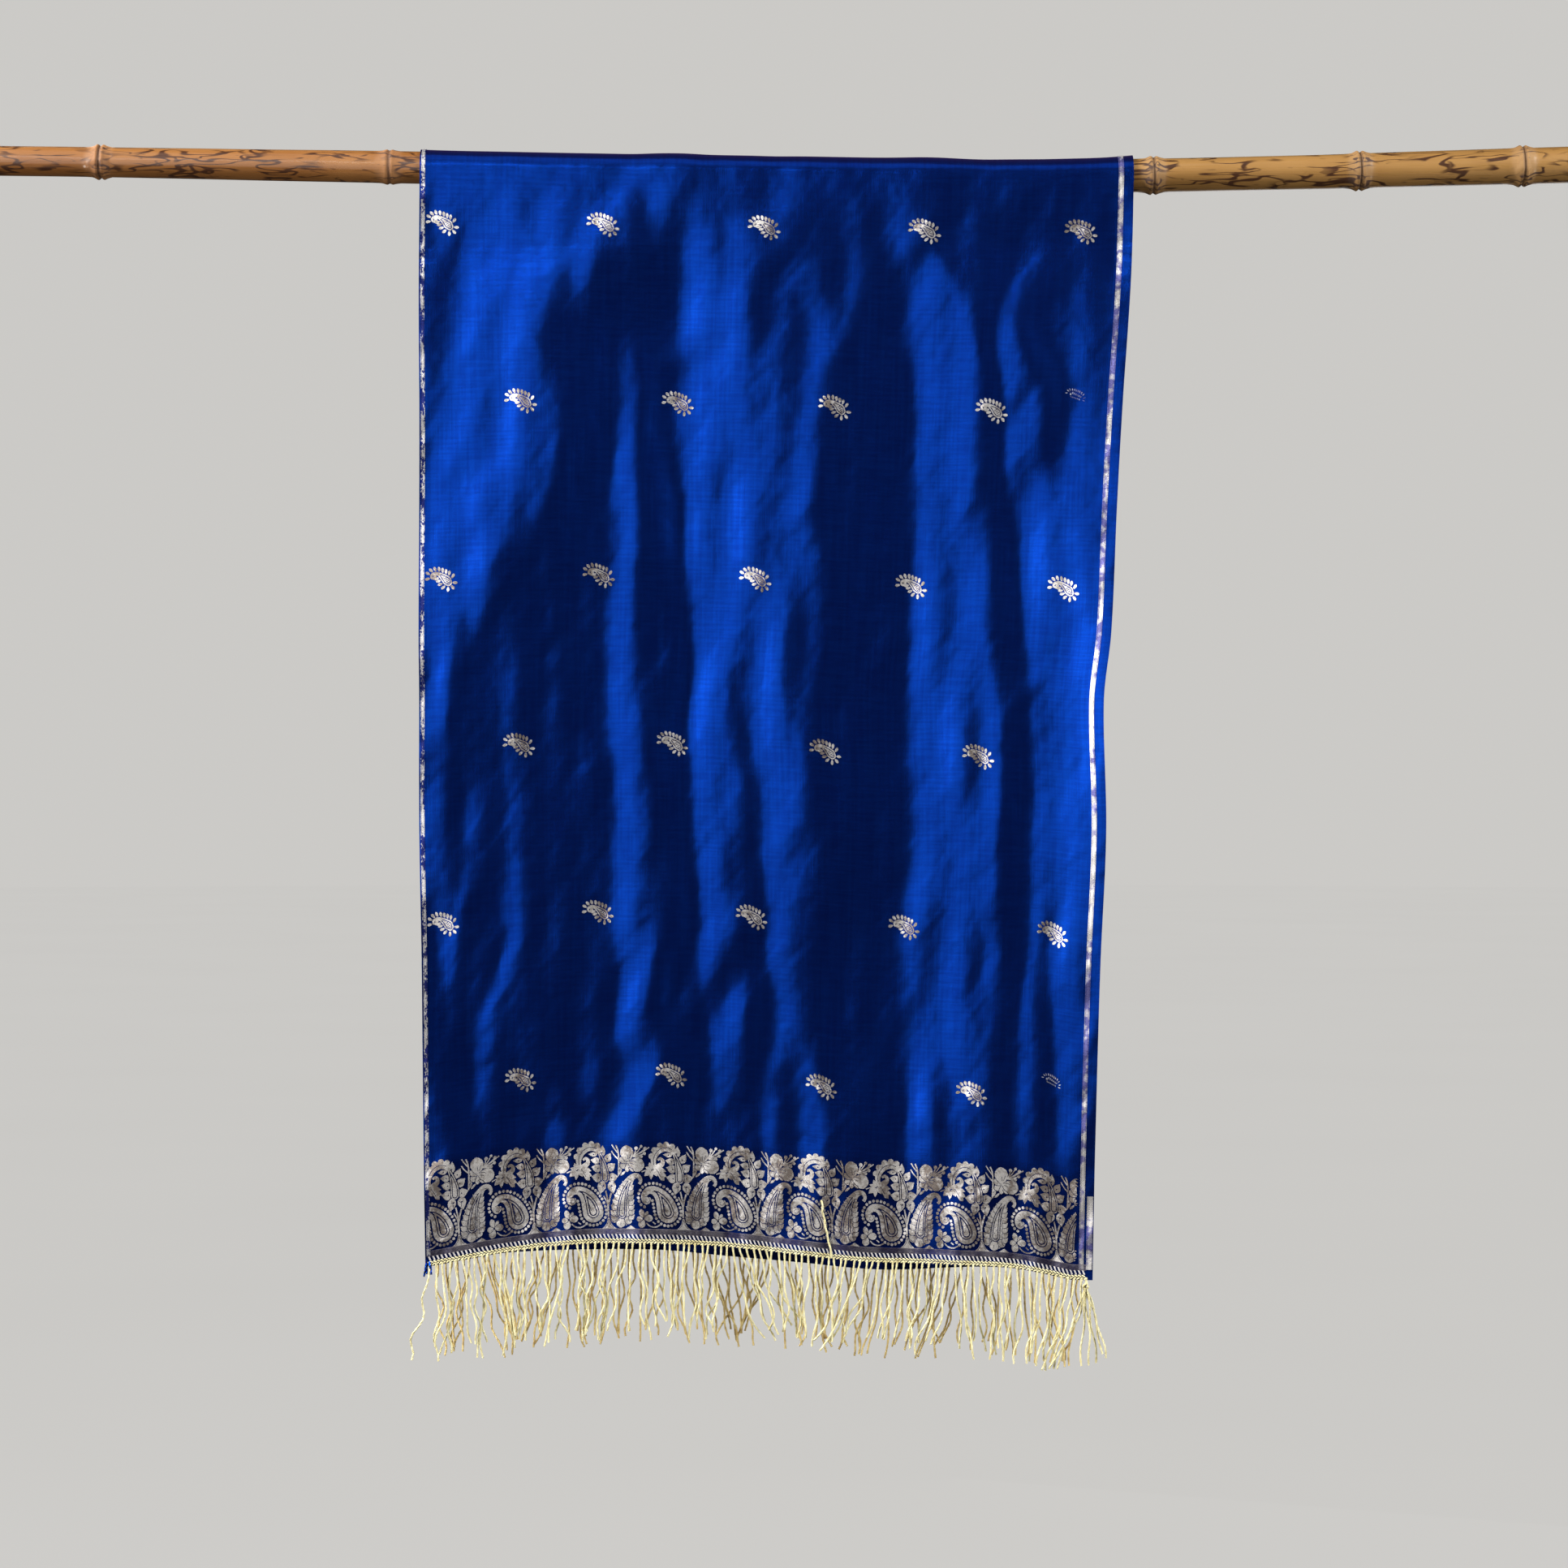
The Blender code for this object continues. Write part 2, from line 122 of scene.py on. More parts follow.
class Fold(NamedTuple):
    """A fold line: its depths and places across at FOLD_DROPS, and how softly it bends (mm)."""

    depth: tuple[float, ...]
    across: tuple[float, ...]
    softness: float


ROD_STATIONS = tuple(RodStation(*row) for row in (
    (-650, 11.0, 11.6), (-640, 11.0, 11.6), (-440, 8.0, 12.0),
    (-279, 5.1, 12.4), (-130, 2.0, 12.7), (0, 0.0, 12.9),
    (186, -2.9, 13.1), (279, -1.3, 13.3), (380, 0.8, 13.4),
    (457, 2.5, 13.6), (640, 8.0, 14.2), (650, 8.0, 14.2),
))
ROD_NODES = tuple(RodNode(*row) for row in (
    (-532, 2.3), (-305, 1.2), (-86, 1.0), (119, 1.0),
    (295, 2.0), (457, 2.2), (585, 2.2),
))
ROD_BUDS = (
    Bud(-532, 22, 8.0, 6.5, 2.0), Bud(295, 36, 5.2, 4.8, 1.6), Bud(585, 27, 5.6, 5.0, 1.8),
)
# Left and right edge of the hanging cloth at rising drops: drop, left, right.
PANEL_EDGES = (
    (0, -279.4, 279.4), (75, -280.0, 277.5), (184, -279.5, 270.0),
    (260, -279.5, 265.4), (361, -279.5, 260.4), (415, -279.0, 254.5),
    (515, -279.0, 256.5), (622, -277.0, 252.2), (765, -275.6, 248.4),
    (870, -274.0, 246.4),
)
# Drop of the front hem at rising places across.
HEM = (
    (-280, 856.5), (-211, 846.0), (-150, 840.0), (-90, 839.5), (-30, 842.5),
    (32, 848.5), (92, 854.0), (153, 855.5), (214, 858.0), (262, 866.5),
)
# Drops at which every fold gives its depth and its place across.
FOLD_DROPS = (57, 120, 184, 279, 374, 501, 660, 742)
# The hanging sides' left and right edges, whose places across PANEL_EDGES gives.
FRONT_EDGES = (
    Fold((0.0, 3.5, 2.5, 4.0, 9.0, 7.0, 9.0, 8.0), (), 9),
    Fold((-1.0, 5.0, 6.5, 13.5, 17.0, 16.5, 12.5, 9.0), (), 9),
)
BACK_EDGES = (
    Fold((0.0, -1.0, -2.0, -3.0, -4.0, -4.0, -4.5, -4.5), (), 14),
    Fold((0.0, 0.0, 0.5, 1.0, 1.0, 1.0, 1.2, 1.2), (), 14),
)
# Fold lines of each side between its edges, from left to right.
FRONT_FOLDS = (
    Fold((-3.0, 0.0, 0.5, 4.5, 7.5, 7.5, 7.0, 6.0),
         (-246, -262, -258, -270, -264, -256, -262, -258), 9),
    Fold((3.6, 7.0, 7.0, 10.0, 9.0, 6.5, 5.0, 2.0),
         (-144, -174, -174, -196, -246, -246, -250, -236), 24),
    Fold((3.0, 1.0, 3.0, 5.0, 6.0, 3.5, 3.6, -4.0),
         (-128, -150, -156, -180, -228, -228, -218, -186), 14),
    Fold((2.8, -2.0, 0.0, 2.4, 3.2, 1.8, 2.6, -2.6),
         (-118, -134, -140, -164, -200, -196, -196, -158), 14),
    Fold((-0.2, -4.2, -4.4, -4.0, -6.4, -5.4, -5.2, -4.5),
         (-110, -116, -122, -140, -134, -132, -126, -136), 10),
    Fold((-1.4, -5.6, -3.2, -2.0, -3.0, -2.2, -1.6, -0.8),
         (-102, -108, -106, -110, -106, -98, -93, -104), 8),
    Fold((-3.5, -10.0, -9.5, -10.0, -10.5, -9.5, -7.5, -8.5),
         (-76, -76, -82, -74, -70, -64, -57, -42), 9),
    Fold((-0.2, -1.0, -1.0, -2.5, -6.0, -5.5, -4.4, -6.6),
         (-50, -24, -14, -8, -40, -40, -36, -26), 16),
    Fold((0.2, -1.4, -1.4, -1.6, -6.0, -6.6, -7.0, -8.4),
         (-26, -4, 6, 6, -30, -16, -2, -14), 9),
    Fold((0.8, -2.0, -0.2, -0.6, -0.4, -0.4, -4.5, -2.6),
         (-6, 30, 40, 36, 22, 28, 22, 50), 18),
    Fold((-2.6, -1.6, -1.0, -2.0, -2.0, -2.0, -6.0, -3.2),
         (90, 62, 52, 50, 34, 40, 38, 58), 16),
    Fold((-2.6, -6.0, -7.5, -9.5, -9.5, -9.0, -10.5, -6.0),
         (92, 101, 104, 104, 102, 100, 93, 97), 12),
    Fold((0.0, 1.0, 1.4, -1.5, 1.6, 3.2, 1.5, 2.6),
         (124, 154, 162, 166, 166, 176, 168, 160), 8),
    Fold((-4.2, -0.6, -0.6, -3.0, 0.4, 1.5, 1.0, 2.4),
         (188, 170, 178, 184, 194, 202, 190, 182), 6),
    Fold((-3.0, 2.4, 4.0, 0.6, 2.8, 4.0, 4.0, 4.6),
         (214, 192, 208, 206, 208, 214, 206, 206), 9),
    Fold((-2.0, -0.6, 1.6, 1.6, 4.6, 5.6, 3.8, 5.0),
         (240, 212, 228, 212, 216, 222, 214, 216), 9),
)
BACK_FOLDS = (
    Fold((1.5, 3.0, 5.4, 6.0, 4.6, 6.5, 9.0, 9.0),
         (-205, -212, -209, -222, -220, -230, -228, -228), 26),
    Fold((-1.5, -2.4, -5.2, -6.6, -4.4, -5.0, -7.5, -7.0),
         (-130, -136, -152, -148, -160, -156, -163, -150), 20),
    Fold((1.5, 4.0, 3.4, 3.6, 5.4, 8.0, 7.0, 5.6),
         (-60, -68, -66, -81, -90, -85, -94, -84), 28),
    Fold((-1.0, -2.0, -5.0, -6.4, -4.6, -5.5, -7.5, -7.0),
         (-10, -12, -24, -21, -37, -30, -45, -42), 22),
    Fold((1.0, 3.8, 6.0, 5.2, 6.6, 9.0, 6.6, 5.5),
         (52, 55, 42, 47, 32, 35, 19, 20), 26),
    Fold((-1.5, -3.2, -4.6, -6.8, -7.4, -5.2, -6.0, -7.5),
         (110, 104, 109, 95, 99, 87, 99, 98), 20),
    Fold((1.5, 4.2, 5.0, 4.2, 6.2, 8.4, 8.0, 7.0),
         (178, 171, 177, 163, 169, 173, 159, 160), 28),
    Fold((-1.0, -2.0, -4.4, -5.2, -3.8, -5.0, -6.4, -5.5),
         (232, 233, 225, 227, 219, 223, 214, 214), 22),
)
# Places where the crumples are steeper: across, drop, reach.
CRUMPLED_PLACES = (
    (-215, 410, 60), (-235, 230, 45), (-225, 610, 70), (190, 450, 45), (25, 385, 45),
    (210, 690, 60), (-120, 90, 40), (110, 60, 50), (-60, 700, 60),
)
# Soft lines that folding for storage left across the cloth: travel, rise, tilt.
CREASES = (
    (53, 0.12, 0.004), (327, 0.22, -0.010), (362, -0.20, 0.006),
    (464, 0.18, 0.012), (594, 0.22, -0.006), (607, -0.18, 0.004),
    (718, 0.20, 0.010), (736, -0.16, -0.008), (-240, 0.20, 0.008),
    (-432, 0.22, -0.008), (-601, -0.20, 0.006), (-726, 0.18, -0.006),
)
# Travels of the rows of buttis, and their places across, row and row about.
BUTTI_ROWS = (
    737.0, 609.0, 475.0, 343.0, 206.0, 67.0, -67.0, -202.0, -337.0, -471.0, -605.0, -739.0,
)
BUTTI_COLUMNS = (
    (-198.0, -73.0, 52.0, 177.0),
    (-260.4, -134.4, -8.0, 117.5, 240.0),
)


# ---- Curves and small sums ---------------------------------------------------

def smooth_between(knots: Sequence[float], values: Sequence[float], places: Array | float) -> Array:
    """Reads a smooth curve through a few (knot, value) pairs, level past both ends.

    Args:
        knots: Rising places that the table gives.
        values: The value at each knot.
        places: Where the curve is read.

    Returns:
        The curve's values at the places.
    """
    k, v = np.asarray(knots, float), np.asarray(values, float)
    x = np.clip(np.asarray(places, float), k[0], k[-1])
    before = np.maximum(np.arange(len(k)) - 1, 0)
    after = np.minimum(np.arange(len(k)) + 1, len(k) - 1)
    slope = (v[after] - v[before]) / (k[after] - k[before])
    i = np.clip(np.searchsorted(k, x, side="right") - 1, 0, len(k) - 2)
    span = k[i + 1] - k[i]
    t = (x - k[i]) / span
    return (
        (2 * t**3 - 3 * t**2 + 1) * v[i]
        + (t**3 - 2 * t**2 + t) * span * slope[i]
        + (3 * t**2 - 2 * t**3) * v[i + 1]
        + (t**3 - t**2) * span * slope[i + 1]
    )


def ease(share: Array | float) -> Array:
    """Smooth step from nought to one."""
    s = np.clip(share, 0.0, 1.0)
    return s * s * (3 - 2 * s)


def aim_of(degrees: float) -> Pair:
    """Cosine and sine of an angle."""
    return math.cos(math.radians(degrees)), math.sin(math.radians(degrees))


def bump(offset: Array | float, width: float) -> Array:
    """Bell-shaped hump of height one and the given half width."""
    return np.exp(-((offset / width) ** 2))


# ---- Meshes and objects ------------------------------------------------------

def new_mesh(name: str, points: Array, faces: Sequence[Sequence[int]] | Array) -> Mesh:
    """Makes a mesh from points and faces that all have the same number of corners.

    Args:
        name: Name of the mesh.
        points: Rows of x, y, z.
        faces: Rows of point numbers.

    Returns:
        The new mesh.
    """
    corners = np.asarray(faces, np.int32)
    mesh = bpy.data.meshes.new(name)
    mesh.vertices.add(len(points))
    mesh.vertices.foreach_set("co", np.asarray(points, np.float32).ravel())
    mesh.loops.add(corners.size)
    mesh.loops.foreach_set("vertex_index", corners.ravel())
    mesh.polygons.add(len(corners))
    starts = np.arange(0, corners.size, corners.shape[1], dtype=np.int32)
    mesh.polygons.foreach_set("loop_start", starts)
    mesh.update(calc_edges=True)
    return mesh


def grid_numbers(points: Array) -> Array:
    """Point numbers of a grid, in its own shape."""
    return np.arange(points.shape[0] * points.shape[1]).reshape(points.shape[:2])


def grid_faces(at: Array) -> Array:
    """Faces between the rows and columns of a grid of point numbers."""
    return np.stack([at[:-1, :-1], at[1:, :-1], at[1:, 1:], at[:-1, 1:]], -1).reshape(-1, 4)


def new_object(name: str, data: bpy.types.ID) -> Object:
    """Makes an object at the origin and puts it in the scene."""
    made = bpy.data.objects.new(name, data)
    bpy.context.scene.collection.objects.link(made)
    return made


def set_flat_map(mesh: Mesh, flat: Array) -> None:
    """Gives a mesh the UV map of its places on the flat cloth, one row a point."""
    layer = mesh.uv_layers.new(name=FLAT_MAP)
    corner = np.empty(len(mesh.loops), np.int32)
    mesh.loops.foreach_get("vertex_index", corner)
    layer.data.foreach_set("uv", np.asarray(flat, np.float32)[corner].ravel())


def shade(mesh: Mesh, degrees: float) -> None:
    """Shades a mesh smooth, with edges sharper than the given angle kept sharp."""
    mesh.shade_smooth()
    mesh.set_sharp_from_angle(angle=math.radians(degrees))


def hand_over(piece: Object, slot: str, *nodes: str) -> None:
    """Puts a finished piece on the body in its solids' place, hiding the solids, and logs its
    material slot.

    Args:
        piece: The finished object.
        slot: Name of the piece's material slot, which is only logged.
        nodes: Names of the solids that the piece stands for.
    """
    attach(piece, BODY)
    if nodes:
        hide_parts(*nodes)
    count = sum(len(p.vertices) - 2 for p in piece.data.polygons)
    LOG.info("%s: %d triangles, finish %s", piece.name, count, slot)


# ---- Node trees --------------------------------------------------------------

class Bench:
    """Adds nodes to one tree and joins them."""

    def __init__(self, tree: Tree) -> None:
        """Starts on a tree."""
        self.tree = tree

    def add(self, kind: str, inputs: dict | None = None, **settings: object) -> Node:
        """Adds one node.

        Args:
            kind: Blender's name for the node type.
            inputs: Values or sockets by input name or number.
            settings: The node's own properties.

        Returns:
            The new node.
        """
        made = self.tree.nodes.new(kind)
        for key, value in settings.items():
            setattr(made, key, value)
        self.fill(made, inputs or {})
        return made

    def fill(self, node: Node, inputs: dict) -> None:
        """Feeds a node's inputs, given by name or number."""
        for key, value in inputs.items():
            self.put(node.inputs[key], value)

    def put(self, socket: Socket, value: object) -> None:
        """Feeds a socket from another socket, or sets its value."""
        if isinstance(value, Socket):
            self.tree.links.new(value, socket)
        else:
            socket.default_value = value

    def sum(self, operation: str, *terms: Socket | float, clamp: bool = False) -> Socket:
        """Result of a Math node on sockets or numbers."""
        inputs = dict(enumerate(terms))
        return self.add("ShaderNodeMath", inputs, operation=operation, use_clamp=clamp).outputs[0]

    def mad(self, value: Socket, factor: Socket | float, term: Socket | float,
            clamp: bool = False) -> Socket:
        """A value times a factor, plus a term."""
        return self.sum("MULTIPLY_ADD", value, factor, term, clamp=clamp)

    def times(self, value: Socket, factor: Socket | float) -> Socket:
        """A value times a factor."""
        return self.sum("MULTIPLY", value, factor)

    def vector(self, operation: str, *terms: object) -> Socket:
        """Result of a Vector Math node on sockets or triples."""
        inputs = dict(enumerate(terms))
        return self.add("ShaderNodeVectorMath", inputs, operation=operation).outputs[0]

    def split(self, vector: Socket) -> Sequence[Socket]:
        """The three parts of a vector."""
        return self.add("ShaderNodeSeparateXYZ", {0: vector}).outputs

    def band(self, value: Socket, low: float, high: float) -> Socket:
        """Smooth step of a value from nought at low to one at high."""
        inputs = {"Value": value, "From Min": low, "From Max": high}
        return self.add("ShaderNodeMapRange", inputs, interpolation_type="SMOOTHSTEP").outputs[0]

    def mix(self, share: Socket | float, first: object, second: object) -> Socket:
        """Blend of two colours."""
        inputs = {0: share, 6: first, 7: second}
        return self.add("ShaderNodeMix", inputs, data_type="RGBA").outputs[2]

    def noise(self, place: Socket, detail: Socket | float, **more: Socket | float) -> Socket:
        """Height of a noise texture, of scale one unless told otherwise."""
        inputs = {"Vector": place, "Scale": 1.0, "Detail": detail, **more}
        return self.add("ShaderNodeTexNoise", inputs).outputs[0]

    def bend(self, height: Socket, distance: float, **more: Socket) -> Socket:
        """Normal bent by a height map."""
        inputs = {"Height": height, "Distance": distance, "Strength": 1.0, **more}
        return self.add("ShaderNodeBump", inputs).outputs[0]


def rgba(colour: Sequence[float]) -> tuple[float, ...]:
    """Adds full alpha to a linear colour."""
    return (*colour, 1.0)


def open_group(name: str, kind: str, takes: dict[str, str],
               gives: dict[str, str]) -> tuple[Bench, dict, dict]:
    """Starts a node group with named sockets.

    Args:
        name: Name of the group.
        kind: Blender's name for the tree type.
        takes: Kind of socket by input name, such as Float.
        gives: Kind of socket by output name.

    Returns:
        A bench on the group, its inputs by name, and its output node's sockets by name.
    """
    tree = bpy.data.node_groups.new(name, kind)
    for way, sockets in (("INPUT", takes), ("OUTPUT", gives)):
        for label, sort in sockets.items():
            tree.interface.new_socket(label, in_out=way, socket_type=f"NodeSocket{sort}")
    bench = Bench(tree)
    start, end = bench.add("NodeGroupInput"), bench.add("NodeGroupOutput")
    return bench, {k: start.outputs[k] for k in takes}, {k: end.inputs[k] for k in gives}


class SharedEffects:
    """Shader groups that more than one finish uses."""

    def __init__(self) -> None:
        """Builds the groups once."""
        self.grain = self._grain()
        self.patches = self._patches()
        self.rumples = self._rumples()

    def _grain(self) -> Tree:
        """Fine uneven grain, drawn out by a stretch vector."""
        bench, takes, gives = open_group(
            "drawn_out_grain", "ShaderNodeTree",
            {"Vector": "Vector", "Stretch": "Vector", "Detail": "Float"},
            {"Height": "Float", "Tone": "Float"},
        )
        place = bench.vector("MULTIPLY", takes["Vector"], takes["Stretch"])
        wide = bench.vector("SCALE", place)
        wide.node.inputs["Scale"].default_value = 0.31
        bench.put(gives["Height"], bench.noise(place, takes["Detail"]))
        bench.put(gives["Tone"], bench.band(bench.noise(wide, 2.0), 0.34, 0.66))
        return bench.tree

    def _patches(self) -> Tree:
        """Soft cloudy patches of a given size."""
        bench, takes, gives = open_group(
            "soft_patches", "ShaderNodeTree",
            {"Vector": "Vector", "Per Metre": "Float", "Contrast": "Float"}, {"Mask": "Float"},
        )
        cloud = bench.noise(takes["Vector"], 3.0, Scale=takes["Per Metre"], Roughness=0.55)
        centred = bench.sum("SUBTRACT", cloud, 0.5)
        mask = bench.mad(centred, takes["Contrast"], 0.5, clamp=True)
        bench.put(gives["Mask"], mask)
        return bench.tree

    def _rumples(self) -> Tree:
        """Soft slanting rumples, drawn out up to the right and crossed by fainter ones."""
        bench, takes, gives = open_group(
            "slanting_rumples", "ShaderNodeTree",
            {"Vector": "Vector", "Across": "Float", "Along": "Float"}, {"Height": "Float"},
        )
        lengths = {0: takes["Across"], 1: takes["Along"]}
        scale = bench.add("ShaderNodeCombineXYZ", lengths).outputs[0]
        heights = []
        for lean, share in ((-0.62, 1.0), (0.45, 0.5)):
            turned = bench.add("ShaderNodeVectorRotate", {"Vector": takes["Vector"], "Angle": lean},
                               rotation_type="Z_AXIS").outputs[0]
            drawn = bench.vector("MULTIPLY", turned, scale)
            cloud = bench.noise(drawn, 1.0, Roughness=0.4, Distortion=0.2)
            heights.append(bench.times(cloud, share))
        bench.put(gives["Height"], bench.sum("ADD", *heights))
        return bench.tree

    def place_rumples(self, bench: Bench, flat: Socket, distance: float, under: Socket) -> Socket:
        """Bends a normal by the cloth's rumples and returns it."""
        inputs = {"Vector": flat, "Across": 62.0, "Along": 30.0}
        node = bench.add("ShaderNodeGroup", inputs, node_tree=self.rumples)
        return bench.bend(node.outputs["Height"], distance, Normal=under)

    def place_grain(self, bench: Bench, vector: Socket, stretch: Triple, detail: float) -> Node:
        """Puts the grain group into a material."""
        inputs = {"Vector": vector, "Stretch": stretch, "Detail": detail}
        return bench.add("ShaderNodeGroup", inputs, node_tree=self.grain)

    def place_patches(self, bench: Bench, vector: Socket, per_metre: float,
                      contrast: float) -> Socket:
        """Puts the patches group into a material and returns its mask."""
        inputs = {"Vector": vector, "Per Metre": per_metre, "Contrast": contrast}
        return bench.add("ShaderNodeGroup", inputs, node_tree=self.patches).outputs["Mask"]


def open_material(name: str) -> tuple[Material, Bench, Node]:
    """Starts a material and returns it with a bench and its Principled shader."""
    material = bpy.data.materials.new(name)
    material.use_nodes = True
    material.node_tree.nodes.clear()
    bench = Bench(material.node_tree)
    shader = bench.add("ShaderNodeBsdfPrincipled")
    bench.add("ShaderNodeOutputMaterial", {"Surface": shader.outputs[0]})
    return material, bench, shader


# ---- Finishes ----------------------------------------------------------------

@dataclass(frozen=True)
class SilkSatin:
    """Royal blue silk satin with a deep metallic sheen, fine slubs and soft rumples."""

    name: str = "blue_silk"
    deep: Triple = (0.0003, 0.029, 0.30)
    bright: Triple = (0.0008, 0.056, 0.47)
    # Inner layer's colour: the satin's duller reverse, darkened further as painted shade between
    # the cloth's layers.
    reverse: Triple = (0.0003, 0.008, 0.09)
    weft: Triple = (90.0, 1500.0, 1.0)
    warp: Triple = (1300.0, 45.0, 1.0)
    metallic: float = 0.96
    roughness: float = 0.245
    slub: float = 0.00004
    rumple: float = 0.0006
    # The ground in the border zone is darkened by border_shade: painted shade, partly also the
    # duller weave there.
    border: Pair = (0.785, 0.798)
    border_shade: float = 0.45

    def build(self, effects: SharedEffects) -> Material:
        """Builds the material from its shared groups."""
        material, bench, shader = open_material(self.name)
        flat = bench.add("ShaderNodeUVMap", uv_map=FLAT_MAP).outputs[0]
        weft = effects.place_grain(bench, flat, self.weft, 3.0)
        warp = effects.place_grain(bench, flat, self.warp, 2.0)
        drift = effects.place_patches(bench, flat, 9.0, 1.4)
        weave = bench.sum("ADD", weft.outputs["Tone"], warp.outputs["Tone"])
        tone = bench.mad(weave, 0.32, bench.times(drift, 0.36))
        woven = bench.mix(tone, rgba(self.deep), rgba(self.bright))
        travel = bench.sum("ABSOLUTE", bench.split(flat)[1])
        # Painted shade: the border zone's ground is mixed towards the shaded reverse colour.
        inside = bench.times(bench.band(travel, *self.border), self.border_shade)
        face = bench.mix(inside, woven, rgba(self.reverse))
        # The inner layer takes the shaded reverse colour: painted shade between the layers.
        turned = bench.add("ShaderNodeAttribute", attribute_name=REVERSE).outputs["Fac"]
        threads = bench.mad(warp.outputs["Height"], 0.8, weft.outputs["Height"])
        fine = bench.bend(threads, self.slub)
        bench.fill(shader, {
            "Base Color": bench.mix(turned, face, rgba(self.reverse)),
            "Metallic": self.metallic,
            "Roughness": bench.mad(weft.outputs["Height"], 0.08, self.roughness - 0.04),
            "Sheen Weight": 0.016,
            "Sheen Roughness": 0.5,
            "Sheen Tint": (1.0, 0.25, 1.0, 1.0),
            "Normal": effects.place_rumples(bench, flat, self.rumple, fine),
        })
        return material


@dataclass(frozen=True)
class SilverZari:
    """Flat silver thread, brushed in over the silk: dull and bright by random floats, lit and
    shaded by painted streaks.
    """

    name: str = "silver_zari"
    bright: Triple = (1.0, 0.96, 0.93)
    dull: Triple = (0.35, 0.295, 0.265)
    patches: Triple = (420.0, 420.0, 1.0)
    # Size of the painted lit streaks: long lighter and darker streaks in the colour that stand for
    # lit and shaded zones.
    streaks: Triple = (190.0, 26.0, 1.0)
    ribs: Triple = (260.0, 2600.0, 1.0)
    contrast: float = 2.2
    metallic: float = 0.82
    roughness: float = 0.27
    rib: float = 0.00006
    rumple: float = 0.0021

    def build(self, effects: SharedEffects) -> Material:
        """Builds the material from its shared groups."""
        material, bench, shader = open_material(self.name)
        flat = bench.add("ShaderNodeUVMap", uv_map=FLAT_MAP).outputs[0]
        ribs = effects.place_grain(bench, flat, self.ribs, 2.0).outputs["Height"]
        floats = effects.place_grain(bench, flat, self.patches, 2.0)
        fine = bench.band(floats.outputs["Height"], 0.38, 0.62)
        # Painted light and shade: long streaks lighten and darken the silver as lit zones would.
        streaks = effects.place_grain(bench, flat, self.streaks, 1.0).outputs["Tone"]
        tone = bench.mad(floats.outputs["Tone"], 0.30, bench.times(fine, 0.25))
        tone = bench.mad(streaks, 0.45, tone)
        centred = bench.sum("SUBTRACT", tone, 0.5)
        tone = bench.mad(centred, self.contrast, 0.5, clamp=True)
        raised = bench.bend(bench.sum("ADD", ribs, floats.outputs["Height"]), self.rib)
        bench.fill(shader, {
            "Base Color": bench.mix(tone, rgba(self.dull), rgba(self.bright)),
            "Metallic": self.metallic,
            "Roughness": bench.mad(ribs, 0.16, self.roughness - 0.08),
            "Normal": effects.place_rumples(bench, flat, self.rumple, raised),
        })
        return material


# The zari's other finishes, in this order: worn, whose white blotches are painted glints on
# lavender thread; spotted, whose dark and light spots are partly painted glints and shade of a
# crinkled stripe; dashed; and dark.
ZARI_VARIANTS = (
    SilverZari("worn_zari", (1.0, 0.97, 0.96), (0.20, 0.19, 0.50), (160.0, 160.0, 1.0),
               contrast=3.6),
    SilverZari("spotted_zari", (1.0, 0.98, 0.97), (0.03, 0.04, 0.24), (900.0, 520.0, 1.0),
               (420.0, 120.0, 1.0), contrast=5.0),
    SilverZari("dashed_zari", dull=(0.66, 0.62, 0.60), contrast=1.6, metallic=0.6, roughness=0.36),
    SilverZari("dark_zari", (0.46, 0.42, 0.46), (0.13, 0.11, 0.17), (160.0, 160.0, 1.0),
               contrast=2.0),
)


@dataclass(frozen=True)
class GoldThread:
    """Pale gold plied thread."""

    name: str = "gold_thread"
    lit: Triple = (0.78, 0.74, 0.46)
    shaded: Triple = (0.48, 0.41, 0.18)
    roughness: float = 0.42
    fibre: float = 0.00006

    def build(self, effects: SharedEffects) -> Material:
        """Builds the material from its shared groups."""
        material, bench, shader = open_material(self.name)
        place = bench.add("ShaderNodeTexCoord").outputs["Object"]
        fibres = effects.place_grain(bench, place, (2600.0, 2600.0, 900.0), 2.0).outputs["Height"]
        patches = effects.place_patches(bench, place, 160.0, 2.4)
        bench.fill(shader, {
            "Base Color": bench.mix(patches, rgba(self.shaded), rgba(self.lit)),
            "Metallic": 0.15,
            "Sheen Weight": 0.25,
            "Sheen Roughness": 0.4,
            "Roughness": bench.mad(fibres, 0.2, self.roughness - 0.1),
            "Normal": bench.bend(fibres, self.fibre),
        })
        return material


